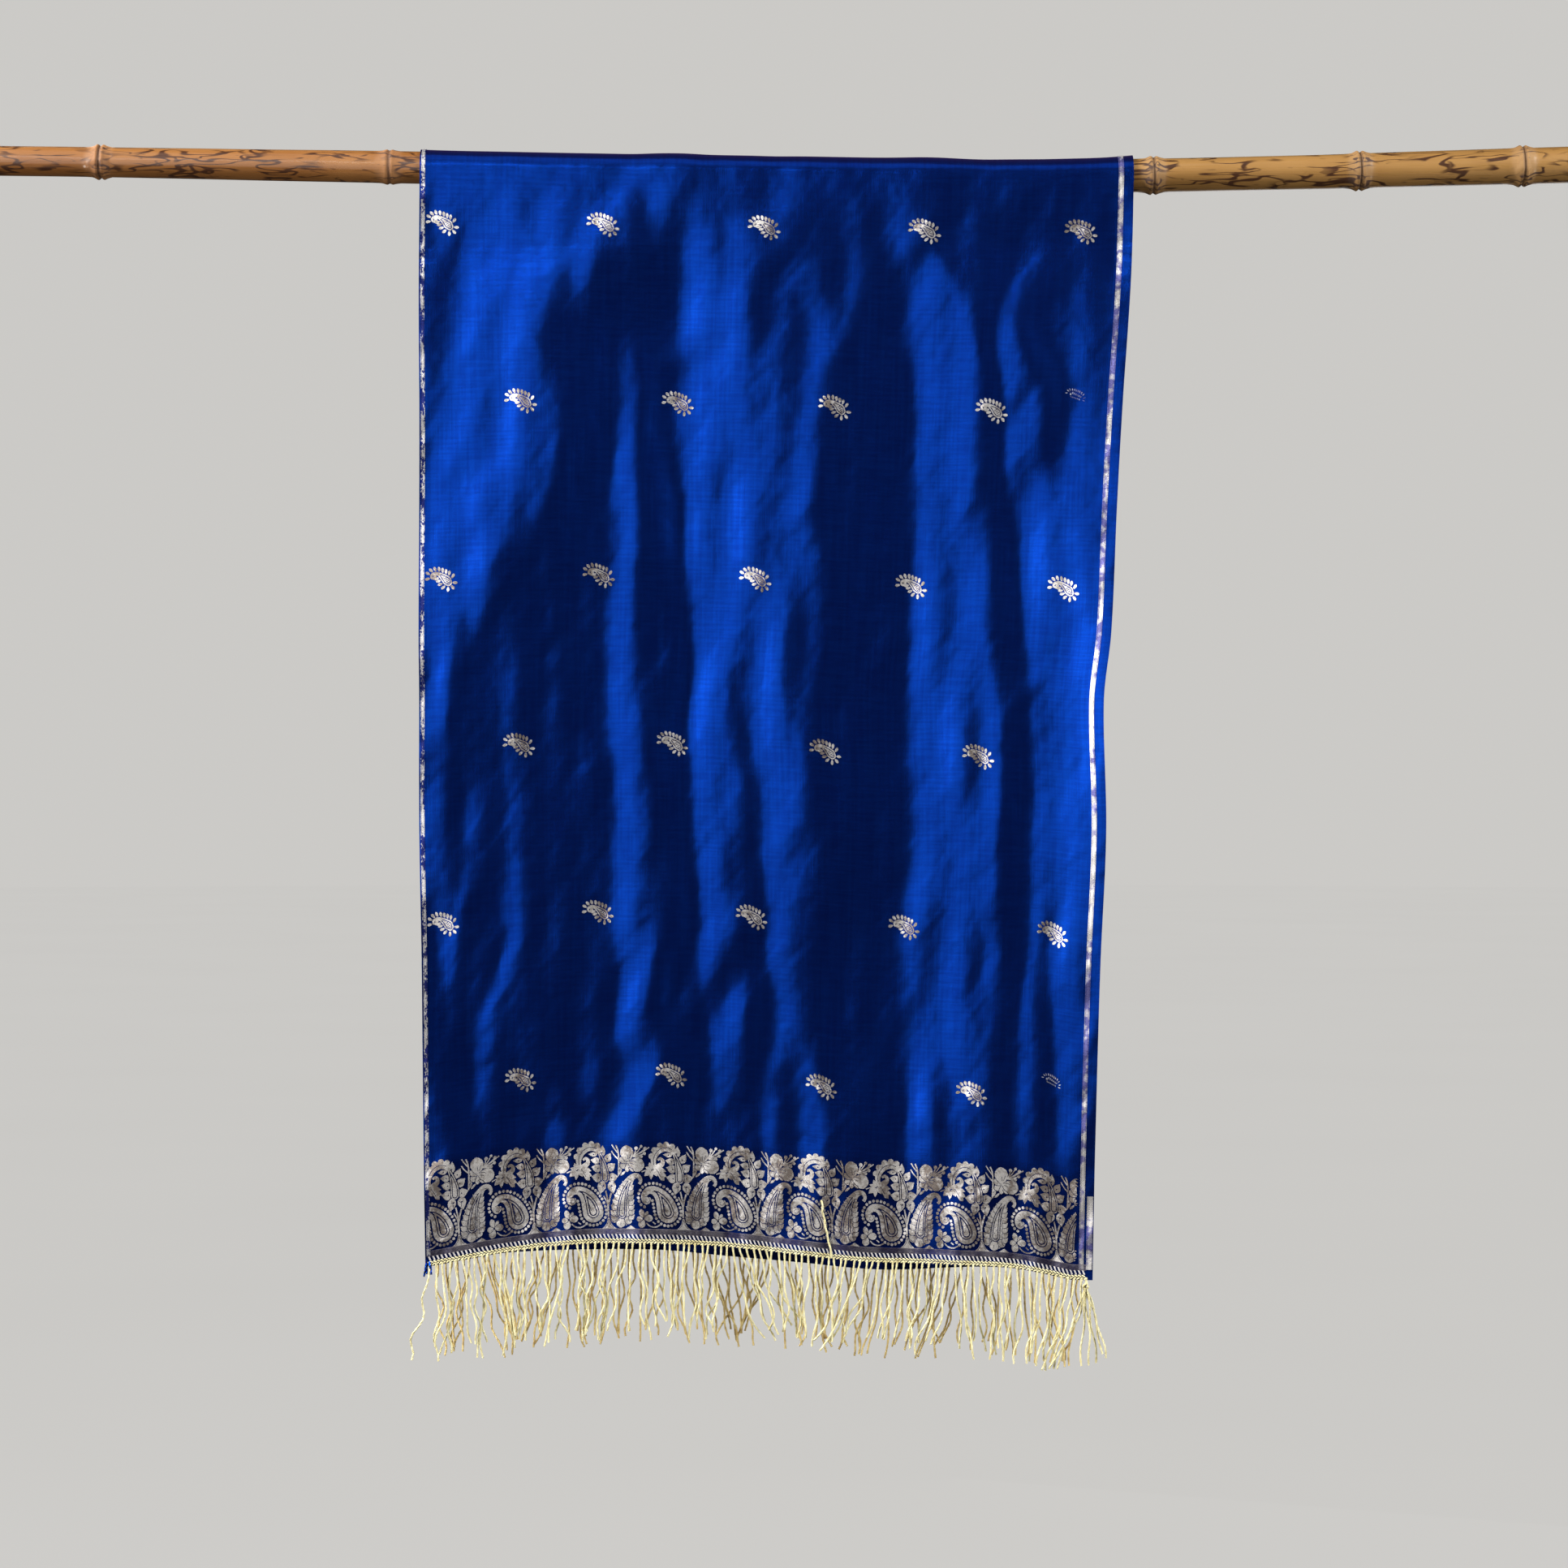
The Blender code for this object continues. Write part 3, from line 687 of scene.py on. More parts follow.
@dataclass(frozen=True)
class ScorchedBamboo:
    """Varnished bamboo: toffee brown at the left, straw at the right, with scorch marks."""

    name: str = "bamboo"
    toffee: Triple = (0.155, 0.055, 0.011)
    amber: Triple = (0.29, 0.135, 0.042)
    straw: Triple = (0.16, 0.076, 0.018)
    pale: Triple = (0.27, 0.145, 0.045)
    scorch: Triple = (0.030, 0.009, 0.004)
    turn: Pair = (-0.34, 0.30)
    groove: float = 0.8
    groove_dark: Pair = (0.0004, 0.0022)
    node_matt: Pair = (0.006, 0.013)
    hook_edge: Pair = (0.016, 0.044)
    roughness: float = 0.30
    coat: float = 0.8
    fibre: float = 0.00012

    def build(self, effects: SharedEffects) -> Material:
        """Builds the material from its shared groups."""
        material, bench, shader = open_material(self.name)
        place = bench.add("ShaderNodeTexCoord").outputs["Object"]
        across = bench.split(place)[0]
        fibres = effects.place_grain(bench, place, (22.0, 900.0, 900.0), 4.0).outputs["Height"]
        streaks = effects.place_grain(bench, place, (7.0, 160.0, 160.0), 3.0).outputs["Tone"]
        cloud = effects.place_patches(bench, place, 14.0, 2.0)
        side = bench.band(across, *self.turn)
        tone = bench.mad(streaks, 0.6, bench.times(cloud, 0.4))
        left = bench.mix(tone, rgba(self.toffee), rgba(self.amber))
        right = bench.mix(tone, rgba(self.straw), rgba(self.pale))
        skin = bench.mix(side, left, right)
        grooves = bench.times(self._near_nodes(bench, across, *self.groove_dark), 0.6)
        hooks, dashes = self._hooks(bench, place, side), self._dashes(bench, place, side)
        marks = bench.sum("MAXIMUM", bench.sum("MAXIMUM", hooks, dashes), grooves)
        base = bench.mix(marks, skin, rgba(self.scorch))
        fine = bench.times(bench.band(fibres, 0.56, 0.74), 0.22)
        rough = bench.mad(fibres, 0.25, self.roughness - 0.12)
        nodes = self._near_nodes(bench, across, *self.node_matt)
        bench.fill(shader, {
            "Base Color": bench.mix(fine, base, rgba(self.toffee)),
            "Roughness": bench.mad(nodes, 0.42, rough),
            "Coat Weight": bench.mad(nodes, -self.coat, self.coat),
            "Coat Roughness": 0.17,
            "Normal": bench.bend(fibres, self.fibre),
        })
        return material

    def _hooks(self, bench: Bench, place: Socket, side: Socket) -> Socket:
        """Long scorched hooks and loops: broken outlines of drawn-out clouds."""
        lines = []
        for shift, stretch in ((0.0, (22.0, 105.0, 105.0)), (3.7, (30.0, 140.0, 140.0))):
            moved = bench.vector("ADD", place, (shift, shift * 0.3, 0.0))
            cloud = bench.noise(bench.vector("MULTIPLY", moved, stretch), 1.0, Distortion=0.6)
            edge = bench.sum("ABSOLUTE", bench.sum("SUBTRACT", cloud, 0.5))
            line = bench.sum("SUBTRACT", 1.0, bench.band(edge, *self.hook_edge))
            gate = bench.noise(bench.vector("MULTIPLY", moved, (24.0, 60.0, 60.0)), 1.0)
            lines.append(bench.times(line, bench.band(gate, 0.45, 0.56)))
        strength = bench.mad(side, 0.02, 0.93)
        return bench.times(bench.sum("MAXIMUM", *lines), strength)

    def _dashes(self, bench: Bench, place: Socket, side: Socket) -> Socket:
        """Short dark dashes and blots along the grain, thickest at the left."""
        spots = bench.noise(bench.vector("MULTIPLY", place, (55.0, 260.0, 260.0)), 2.0)
        strength = bench.mad(side, -0.45, 0.75)
        return bench.times(bench.band(spots, 0.66, 0.72), strength)

    def _near_nodes(self, bench: Bench, across: Socket, inner: float, outer: float) -> Socket:
        """Mask that is full within one distance of a node's groove and gone past another."""
        total: Socket | float = 0.0
        for node in ROD_NODES:
            offset = bench.sum("SUBTRACT", across, (node.across + self.groove) * MM)
            gone = bench.band(bench.sum("ABSOLUTE", offset), inner, outer)
            total = bench.sum("MAXIMUM", total, bench.sum("SUBTRACT", 1.0, gone))
        return total


@dataclass(frozen=True)
class PaleFloor:
    """Plain pale floor that looks evenly lit."""

    name: str = "pale_floor"
    colour: Triple = PALE

    def build(self) -> Material:
        """Builds the material."""
        material, bench, shader = open_material(self.name)
        place = bench.add("ShaderNodeTexCoord").outputs["Object"]
        cloud = bench.noise(place, 2.0, Scale=0.8)
        dimmer = [c * 0.97 for c in self.colour]
        bench.fill(shader, {
            "Base Color": (0.02, 0.02, 0.02, 1.0),
            "Emission Color": bench.mix(cloud, rgba(dimmer), rgba(self.colour)),
            "Emission Strength": 1.0,
            "Roughness": 1.0,
            "Specular IOR Level": 0.0,
        })
        return material


# ---- The rod -----------------------------------------------------------------

@dataclass
class BambooRod:
    """The bamboo rod: swelling nodes, bud scars and a bore at its cut ends (sizes in mm)."""

    sides: int = 44
    step: float = 6.5
    node_step: float = 0.9
    node_reach: float = 13.0
    node_rings: tuple[Pair, ...] = (
        (-11, 0.0), (-6, 0.14), (-3.5, 0.55), (-1.6, 1.0), (-0.5, 0.86), (0.6, 0.30), (1.6, 0.5),
        (3.0, 0.95), (5.4, 0.5), (9.5, 0.0),
    )
    closest: float = 0.35
    chamfer: Pair = (0.6, 0.7)
    bud_round: float = 14.5
    wall: float = 4.4
    bore_depth: float = 26.0

    def axis_height(self, across: Array | float) -> Array:
        """Height of the rod's axis above the origin, in metres."""
        knots, heights, _ = zip(*ROD_STATIONS)
        return smooth_between(knots, heights, np.asarray(across) / MM) * MM

    @staticmethod
    def plain_radius(across: Array | float) -> Array:
        """Radius of the rod between its nodes (mm in and out)."""
        knots, _, radii = zip(*ROD_STATIONS)
        return smooth_between(knots, radii, across)

    def radius(self, across: Array | float) -> Array:
        """Radius of the rod with its swollen nodes, in metres."""
        place = np.asarray(across, float) / MM
        found = self.plain_radius(place)
        for node in ROD_NODES:
            found = found + node.swell * smooth_between(*zip(*self.node_rings), place - node.across)
        return found * MM

    def unevenness(self, across: Array, angle: Array) -> Array:
        """Small dents, flats and bud scars in the rod's skin, in metres."""
        x = across / MM
        rise = 0.16 * np.sin(2 * angle + x / 70) + 0.10 * np.sin(3 * angle - x / 41 + 1.3)
        rise = rise + 0.07 * np.sin(5 * angle + x / 23) * np.sin(x / 57)
        for bud in ROD_BUDS:
            turn = np.angle(np.exp(1j * (angle + math.pi / 2 + math.radians(bud.below))))
            along = (x - bud.across + 1.0) / bud.half_length
            away = np.hypot(along, turn * self.bud_round / bud.half_height)
            rise = rise + bud.rise * (bump(away, 1.4**-0.5) - 0.75 * bump(away, 0.42))
            rise = rise + 0.25 * bud.rise * bump(away - 0.85, 0.2)
        return rise * MM

    def stations(self) -> Array:
        """Places along the rod that take a ring of points, in metres."""
        first, last = ROD_STATIONS[0].across, ROD_STATIONS[-1].across
        places = set(np.arange(first, last + 0.1, self.step).round(3))
        for node in ROD_NODES:
            low, high = node.across - self.node_reach, node.across + self.node_reach
            places |= set(np.arange(low, high, self.node_step).round(3))
        found = np.array(sorted(p for p in places if first <= p <= last))
        keep = np.concatenate([[True], np.diff(found) > self.closest])
        return found[keep] * MM

    def build(self, material: Material) -> Object:
        """Builds the rod, bores included, and hands it over."""
        across = self.stations()
        angles = np.linspace(0, 2 * math.pi, self.sides, endpoint=False)
        rings = []
        for x in across:
            rings.append((x, self.radius(x) + self.unevenness(np.full_like(angles, x), angles)))
        back, down = (size * MM for size in self.chamfer)
        for end, inward in ((0, 1), (-1, -1)):
            x, skin = rings[end]
            bore = self.radius(x) - self.wall * MM * (1 + 0.06 * np.sin(2 * angles))
            deep = x + inward * self.bore_depth * MM
            extra = [(x, skin - down), (x, bore), (deep, bore * 0.96), (deep, bore * 0.02)]
            rings[end] = (x + inward * back, skin)
            rings = extra[::-1] + rings if end == 0 else rings + extra
        points = []
        for x, reach in rings:
            height = self.axis_height(x) + reach * np.cos(angles)
            ring = [np.full_like(angles, x), reach * np.sin(angles), height]
            points.append(np.stack(ring, axis=1))
        grid = np.arange(len(points) * self.sides).reshape(-1, self.sides)
        turned = np.roll(grid, -1, axis=1)
        quads = np.stack([grid[:-1], turned[:-1], turned[1:], grid[1:]], axis=-1).reshape(-1, 4)
        mesh = new_mesh("bamboo_rod", np.concatenate(points), quads)
        mesh.validate()
        shade(mesh, 46)
        mesh.materials.append(material)
        rod = new_object("bamboo_rod", mesh)
        hand_over(rod, "bamboo", "rod")
        return rod


# ---- The cloth's surface -----------------------------------------------------

@dataclass
class HangingCloth:
    """The rule that places every point of the flat cloth in space.

    Sizes are in metres. The bridge over a node is in mm, like the nodes, and a crumple's
    length is a multiple of its width.
    """

    rod: BambooRod
    half_width: float = 0.2794
    stand_off: float = 0.0011
    skirt: float = 0.006
    bridge: float = 26.0
    calm_drop: float = 0.18
    seam: float = 0.0282
    front_length: float = 0.842
    back_length: float = 0.849
    back_hem_extra: float = 0.009
    back_inset: float = 0.004
    crumple_count: int = 330
    crumple_lean: Pair = (78, 15)
    crumple_width: Pair = (0.006, 0.016)
    crumple_length: Pair = (1.8, 5.0)
    crumple_tilt: float = 0.036
    crumpled_tilt: float = 0.085
    back_tilt: float = 0.062
    crease_width: float = 0.0024
    pucker: float = 0.0003
    pucker_reach: float = 0.006
    wander: float = 0.0032

    def __post_init__(self) -> None:
        """Works out the fold depths of both sides on a fine table."""
        self.drops = np.arange(0.0, 0.905, 0.0025)
        self.shares = np.linspace(0.0, 1.0, 641)
        self.tables = {
            Side.FRONT: self._fold_table(FRONT_EDGES[0], FRONT_FOLDS, FRONT_EDGES[1]),
            Side.BACK: self._fold_table(BACK_EDGES[0], BACK_FOLDS, BACK_EDGES[1]),
        }
        self.crumples = {side: self._scatter_crumples(side) for side in Side}

    def edges(self, drop: Array) -> tuple[Array, Array]:
        """Left and right edge of the hanging cloth, in metres."""
        knots, *edges = zip(*PANEL_EDGES)
        left, right = (smooth_between(knots, edge, drop / MM) * MM for edge in edges)
        return left, right

    def _fold_table(self, first: Fold, folds: tuple[Fold, ...], last: Fold) -> tuple[Array, Array]:
        """Fold depth at every drop and share across, and where each flat share comes to lie."""
        depth = np.empty((len(self.drops), len(self.shares)))
        lie = np.empty_like(depth)
        left, right = self.edges(self.drops)
        drops = self.drops / MM
        growth = ease((self.drops - self.skirt) / (FOLD_DROPS[0] * MM))
        inner = [smooth_between(FOLD_DROPS, fold.across, drops) * MM
                 + self.wander * self._sway(drops, k) for k, fold in enumerate(folds)]
        across = [left, *inner, right]
        lines = (first, *folds, last)
        deep = [smooth_between(FOLD_DROPS, fold.depth, drops) * MM for fold in lines]
        softness = np.array([fold.softness for fold in lines]) * MM
        offsets = np.linspace(-1.5, 1.5, 25)
        weights = bump(offsets, 0.8) / bump(offsets, 0.8).sum()
        for row in range(len(self.drops)):
            places = np.maximum.accumulate([a[row] + k * 1e-5 for k, a in enumerate(across)])
            levels = [d[row] for d in deep]
            x = left[row] + (right[row] - left[row]) * self.shares
            soft = np.interp(x, places, softness)
            line = sum(weight * np.interp(x + soft * offset, places, levels)
                       for offset, weight in zip(offsets, weights))
            depth[row] = line * growth[row]
            steps = np.hypot(np.diff(x), np.diff(depth[row]))
            run = np.concatenate([[0.0], np.cumsum(steps)])
            lie[row] = np.interp(self.shares, run / run[-1], self.shares)
        return depth, lie

    @staticmethod
    def _sway(drops: Array, number: int) -> Array:
        """How far a fold line strays to and fro on its way down, as a share of the wander."""
        return np.sin(drops / 41 + 1.9 * number) * 0.6 + np.sin(drops / 17 + 0.8 * number) * 0.4

    def _scatter_crumples(self, side: Side) -> list[tuple[float, ...]]:
        """Soft slanting strokes all over one side: place, direction, width, length and rise."""
        rng = random.Random(5 if side is Side.FRONT else 9)
        calm = self.crumple_tilt if side is Side.FRONT else self.back_tilt
        steepest, spread = self.crumple_lean
        found = []
        for _ in range(self.crumple_count):
            across, drop = rng.uniform(-0.28, 0.28), rng.uniform(0.03, 0.86)
            worn = max(float(bump(math.hypot(across - x * MM, drop - y * MM), reach * MM))
                       for x, y, reach in CRUMPLED_PLACES)
            lean = math.radians(rng.gauss(steepest - 22 * worn, spread))
            width = rng.uniform(*self.crumple_width)
            tilt = calm + (self.crumpled_tilt - calm) * worn
            found.append((across, drop, math.cos(lean), math.sin(lean), width,
                          width * rng.uniform(*self.crumple_length), rng.gauss(0, tilt) * width))
        return found

    def fine_relief(self, side: Side, across: Array, travel: Array) -> Array:
        """Gathers, creases, puckers and soft unevenness of one side, in metres."""
        away = np.abs(travel)
        relief = np.zeros_like(across)
        for place, drop, c, s, width, length, rise in self.crumples[side]:
            x, y = across - place, away - drop
            beside, along = (x * s + y * c) / width, (x * c - y * s) / length
            relief += rise * np.exp(-(beside**2) - along**2)
        for mark, rise, tilt in CREASES:
            line = mark * MM + tilt * across + 0.0008 * np.sin(across * 61 + mark)
            fade = 0.6 + 0.4 * np.sin(across * 23 + mark * 1.7)
            relief += rise * MM * fade * bump(travel - line, self.crease_width)
        rng = random.Random(31 + side.value)
        calm = ease((away - 0.02) / 0.06)
        for _ in range(9):
            turn, along = rng.uniform(60, 210), rng.uniform(-38, 38)
            phase, rise = rng.uniform(0, 6.28), rng.uniform(0.00005, 0.00016)
            relief += rise * calm * np.sin(across * turn + travel * along + phase)
        to_edge = self.half_width - np.abs(across)
        ripple = np.sin(travel * 520 + 2.2 * np.sin(travel * 61))
        ripple = ripple * (0.6 + 0.4 * np.sin(travel * 83 + across))
        relief += self.pucker * calm * ripple * np.exp(-to_edge / self.pucker_reach)
        return relief

    def hem_travel(self, side: Side) -> float:
        """Travel of one hem, unsigned."""
        return self.seam + (self.front_length if side is Side.FRONT else self.back_length)

    def saddle_radius(self, across: Array, drop: Array | float = 0.0) -> Array:
        """Radius of the cloth's middle layer: it swells over the nodes and calms lower down."""
        place = across / MM
        found = self.rod.plain_radius(place)
        calm = 1 - ease(drop / self.calm_drop)
        for node in ROD_NODES:
            found = found + calm * node.swell * bump(place - node.across, self.bridge)
        return found * MM + self.stand_off

    def _side_points(self, side: Side, across: Array, travel: Array) -> Array:
        """Points of one side on a grid of flat places, rows by travel."""
        hem = smooth_between(*zip(*HEM), across / MM) * MM
        if side is Side.BACK:
            hem = hem + self.back_hem_extra * (1 - (across / self.half_width) ** 2)
        wide = np.broadcast_to(across, (len(travel), len(across)))
        away = np.broadcast_to(travel[:, None], wide.shape)
        relief = self.fine_relief(side, wide, away * -side.value)
        radius, axis = self.saddle_radius(across), self.rod.axis_height(across)
        quarter = radius * math.pi / 2
        run = away / self.seam * (quarter + self.skirt)
        angle = np.minimum(run / radius, math.pi / 2)
        reach = radius + relief
        height = axis + reach * np.cos(angle) - np.maximum(run - quarter, 0.0)
        over = np.stack([wide, side.value * reach * np.sin(angle), height], axis=-1)
        top = self.skirt - axis
        drop = top + (hem - top) * (away - self.seam) / (self.hem_travel(side) - self.seam)
        rows = np.clip(drop, 0, self.drops[-1]) / (self.drops[1] - self.drops[0])
        depth, lie = self.tables[side]
        place = np.empty_like(drop)
        for column, share in enumerate((across / self.half_width + 1) / 2):
            spot = share * (len(self.shares) - 1)
            left = int(min(spot, len(self.shares) - 2))
            mixed = lie[:, left] + (lie[:, left + 1] - lie[:, left]) * (spot - left)
            place[:, column] = np.interp(rows[:, column], np.arange(len(self.drops)), mixed)
        deep = self._read(depth, rows, place * (len(self.shares) - 1))
        low, high = self.edges(drop)
        growth = ease((drop - self.skirt) / (FOLD_DROPS[0] * MM))
        tuck = (self.back_inset if side is Side.BACK else 0.0) * growth * (1 - 2 * place)
        x = low + (high - low) * place + tuck
        out = self.saddle_radius(x, drop) + deep + relief
        hung = np.stack([x, side.value * out, -drop], axis=-1)
        return np.where((away <= self.seam)[..., None], over, hung)

    @staticmethod
    def _read(table: Array, rows: Array, columns: Array) -> Array:
        """Reads a table between its entries."""
        r = np.clip(rows.astype(int), 0, table.shape[0] - 2)
        c = np.clip(columns.astype(int), 0, table.shape[1] - 2)
        fr, fc = rows - r, columns - c
        upper = table[r, c] * (1 - fc) + table[r, c + 1] * fc
        lower = table[r + 1, c] * (1 - fc) + table[r + 1, c + 1] * fc
        return upper * (1 - fr) + lower * fr

    def grid(self, across: Array, travel: Array) -> tuple[Array, Array]:
        """Points and outward normals of the cloth's middle layer.

        Args:
            across: Rising flat places across.
            travel: Rising travels, from the back hem to the front hem.

        Returns:
            Arrays of points and of normals, rows by travel and columns by place across.
        """
        halves = ((Side.BACK, -travel[travel < 0]), (Side.FRONT, travel[travel >= 0]))
        points = np.concatenate([self._side_points(side, across, half)
                                 for side, half in halves if len(half)])
        normals = np.cross(np.gradient(points, axis=0), np.gradient(points, axis=1))
        normals /= np.linalg.norm(normals, axis=-1, keepdims=True)
        return points, normals


@dataclass
class StoleCloth:
    """The woven cloth: five thin shells cut from one surface, and the guide for what lies on it."""

    surface: HangingCloth
    thickness: float = 0.0005
    column_pitch: float = 0.0030
    selvedge_pitch: float = 0.0012
    selvedge: float = 0.014
    row_pitch: float = 0.0048
    near_rod_pitch: float = 0.0022
    near_rod: float = 0.120
    border: float = 0.078
    past_hem: float = 0.004

    def columns(self) -> Array:
        """Flat places across that take a column of points."""
        half = self.surface.half_width
        inner = half - self.selvedge
        middle = np.linspace(-inner, inner, round(2 * inner / self.column_pitch) + 1)
        edge = np.linspace(inner, half, round(self.selvedge / self.selvedge_pitch) + 1)[1:]
        return np.concatenate([-edge[::-1], middle, edge])

    def rows(self) -> tuple[Array, dict[str, tuple[int, int]]]:
        """Travels that take a row of points, and the rows where each piece starts and ends."""
        back, front = self.surface.hem_travel(Side.BACK), self.surface.hem_travel(Side.FRONT)
        seam, pitch, fine = self.surface.seam, self.row_pitch, self.near_rod_pitch
        stops = (
            (-back, pitch), (-back + self.border, pitch), (-self.near_rod, pitch * 1.4),
            (-seam, fine), (seam, fine), (self.near_rod, fine), (front - self.border, pitch),
            (front, pitch), (front + self.past_hem, pitch),
        )
        travel, marks = [-back - self.past_hem], [0]
        for end, step in stops:
            count = max(1, round((end - travel[-1]) / step))
            travel.extend(np.linspace(travel[-1], end, count + 1)[1:])
            marks.append(len(travel) - 1)
        pieces = {
            "border_back": (marks[1], marks[2]), "stole_back": (marks[2], marks[4]),
            "stole_over_rod": (marks[4], marks[5]), "stole_front": (marks[5], marks[7]),
            "border_front": (marks[7], marks[8]),
        }
        return np.array(travel), pieces

    def shell(self, name: str, points: Array, normals: Array, flat: Array) -> Mesh:
        """Thin closed shell about a grid of middle-layer points.

        Args:
            name: Name of the mesh.
            points: Grid of points.
            normals: Outward normals of the grid.
            flat: Grid of flat places.

        Returns:
            A mesh with an outer layer, an inner layer and four rims.
        """
        half = normals * self.thickness / 2
        skin = np.concatenate([(points + half).reshape(-1, 3), (points - half).reshape(-1, 3)])
        outer = grid_numbers(points)
        inner = outer + outer.size
        quads = [grid_faces(outer), grid_faces(inner)[:, [0, 3, 2, 1]]]
        for run in (np.s_[0, :], np.s_[:, -1], np.s_[-1, ::-1], np.s_[::-1, 0]):
            out, under = outer[run], inner[run]
            quads.append(np.stack([out[:-1], out[1:], under[1:], under[:-1]], -1))
        mesh = new_mesh(name, skin, np.concatenate(quads))
        set_flat_map(mesh, np.concatenate([flat.reshape(-1, 2)] * 2))
        turned = mesh.attributes.new(REVERSE, "FLOAT", "POINT")
        turned.data.foreach_set("value", np.repeat([0.0, 1.0], outer.size).astype(np.float32))
        shade(mesh, 50)
        return mesh

    def guide(self, points: Array, normals: Array, flat: Array) -> Object:
        """Open mesh of the middle layer that the woven patterns are laid on."""
        mesh = new_mesh("cloth_guide", points.reshape(-1, 3), grid_faces(grid_numbers(points)))
        set_flat_map(mesh, (flat * FlatLayer.SCALE + FlatLayer.OFFSET).reshape(-1, 2))
        out = mesh.attributes.new(OUTWARD, "FLOAT_VECTOR", "POINT")
        out.data.foreach_set("vector", normals.astype(np.float32).ravel())
        return new_object("cloth_guide", mesh)

    def build(self, material: Material) -> tuple[dict[str, Object], Object]:
        """Builds the five shells and the guide.

        Returns:
            The shells by the solid each stands for, and the guide.
        """
        across = self.columns()
        travel, pieces = self.rows()
        points, normals = self.surface.grid(across, travel)
        flat = np.stack(np.broadcast_arrays(across[None, :], travel[:, None]), axis=-1)
        made = {}
        for node, (first, last) in pieces.items():
            cut = slice(first, last + 1)
            mesh = self.shell(f"silk_{node}", points[cut], normals[cut], flat[cut])
            mesh.materials.append(material)
            made[node] = new_object(f"silk_{node}", mesh)
            hand_over(made[node], "blue_silk", node)
        LOG.info("cloth: %d columns, %d rows", len(across), len(travel))
        return made, self.guide(points, normals, flat)


# ---- Drawing what is woven in ------------------------------------------------

Outline = Sequence[Pair]
Spine = Sequence[Triple]
SLIM = ((0.0, 0.12), (0.3, 0.46), (0.62, 0.42), (1.0, 0.05))
BROAD = ((0.0, 0.16), (0.2, 0.44), (0.45, 0.5), (0.68, 0.34), (0.86, 0.13), (1.0, 0.0))
PETAL = ((0.0, 0.14), (0.22, 0.36), (0.52, 0.5), (0.78, 0.43), (0.94, 0.22), (1.0, 0.07))
LONG_BITES = (-0.7, 0.0, 0.8, 1.5)


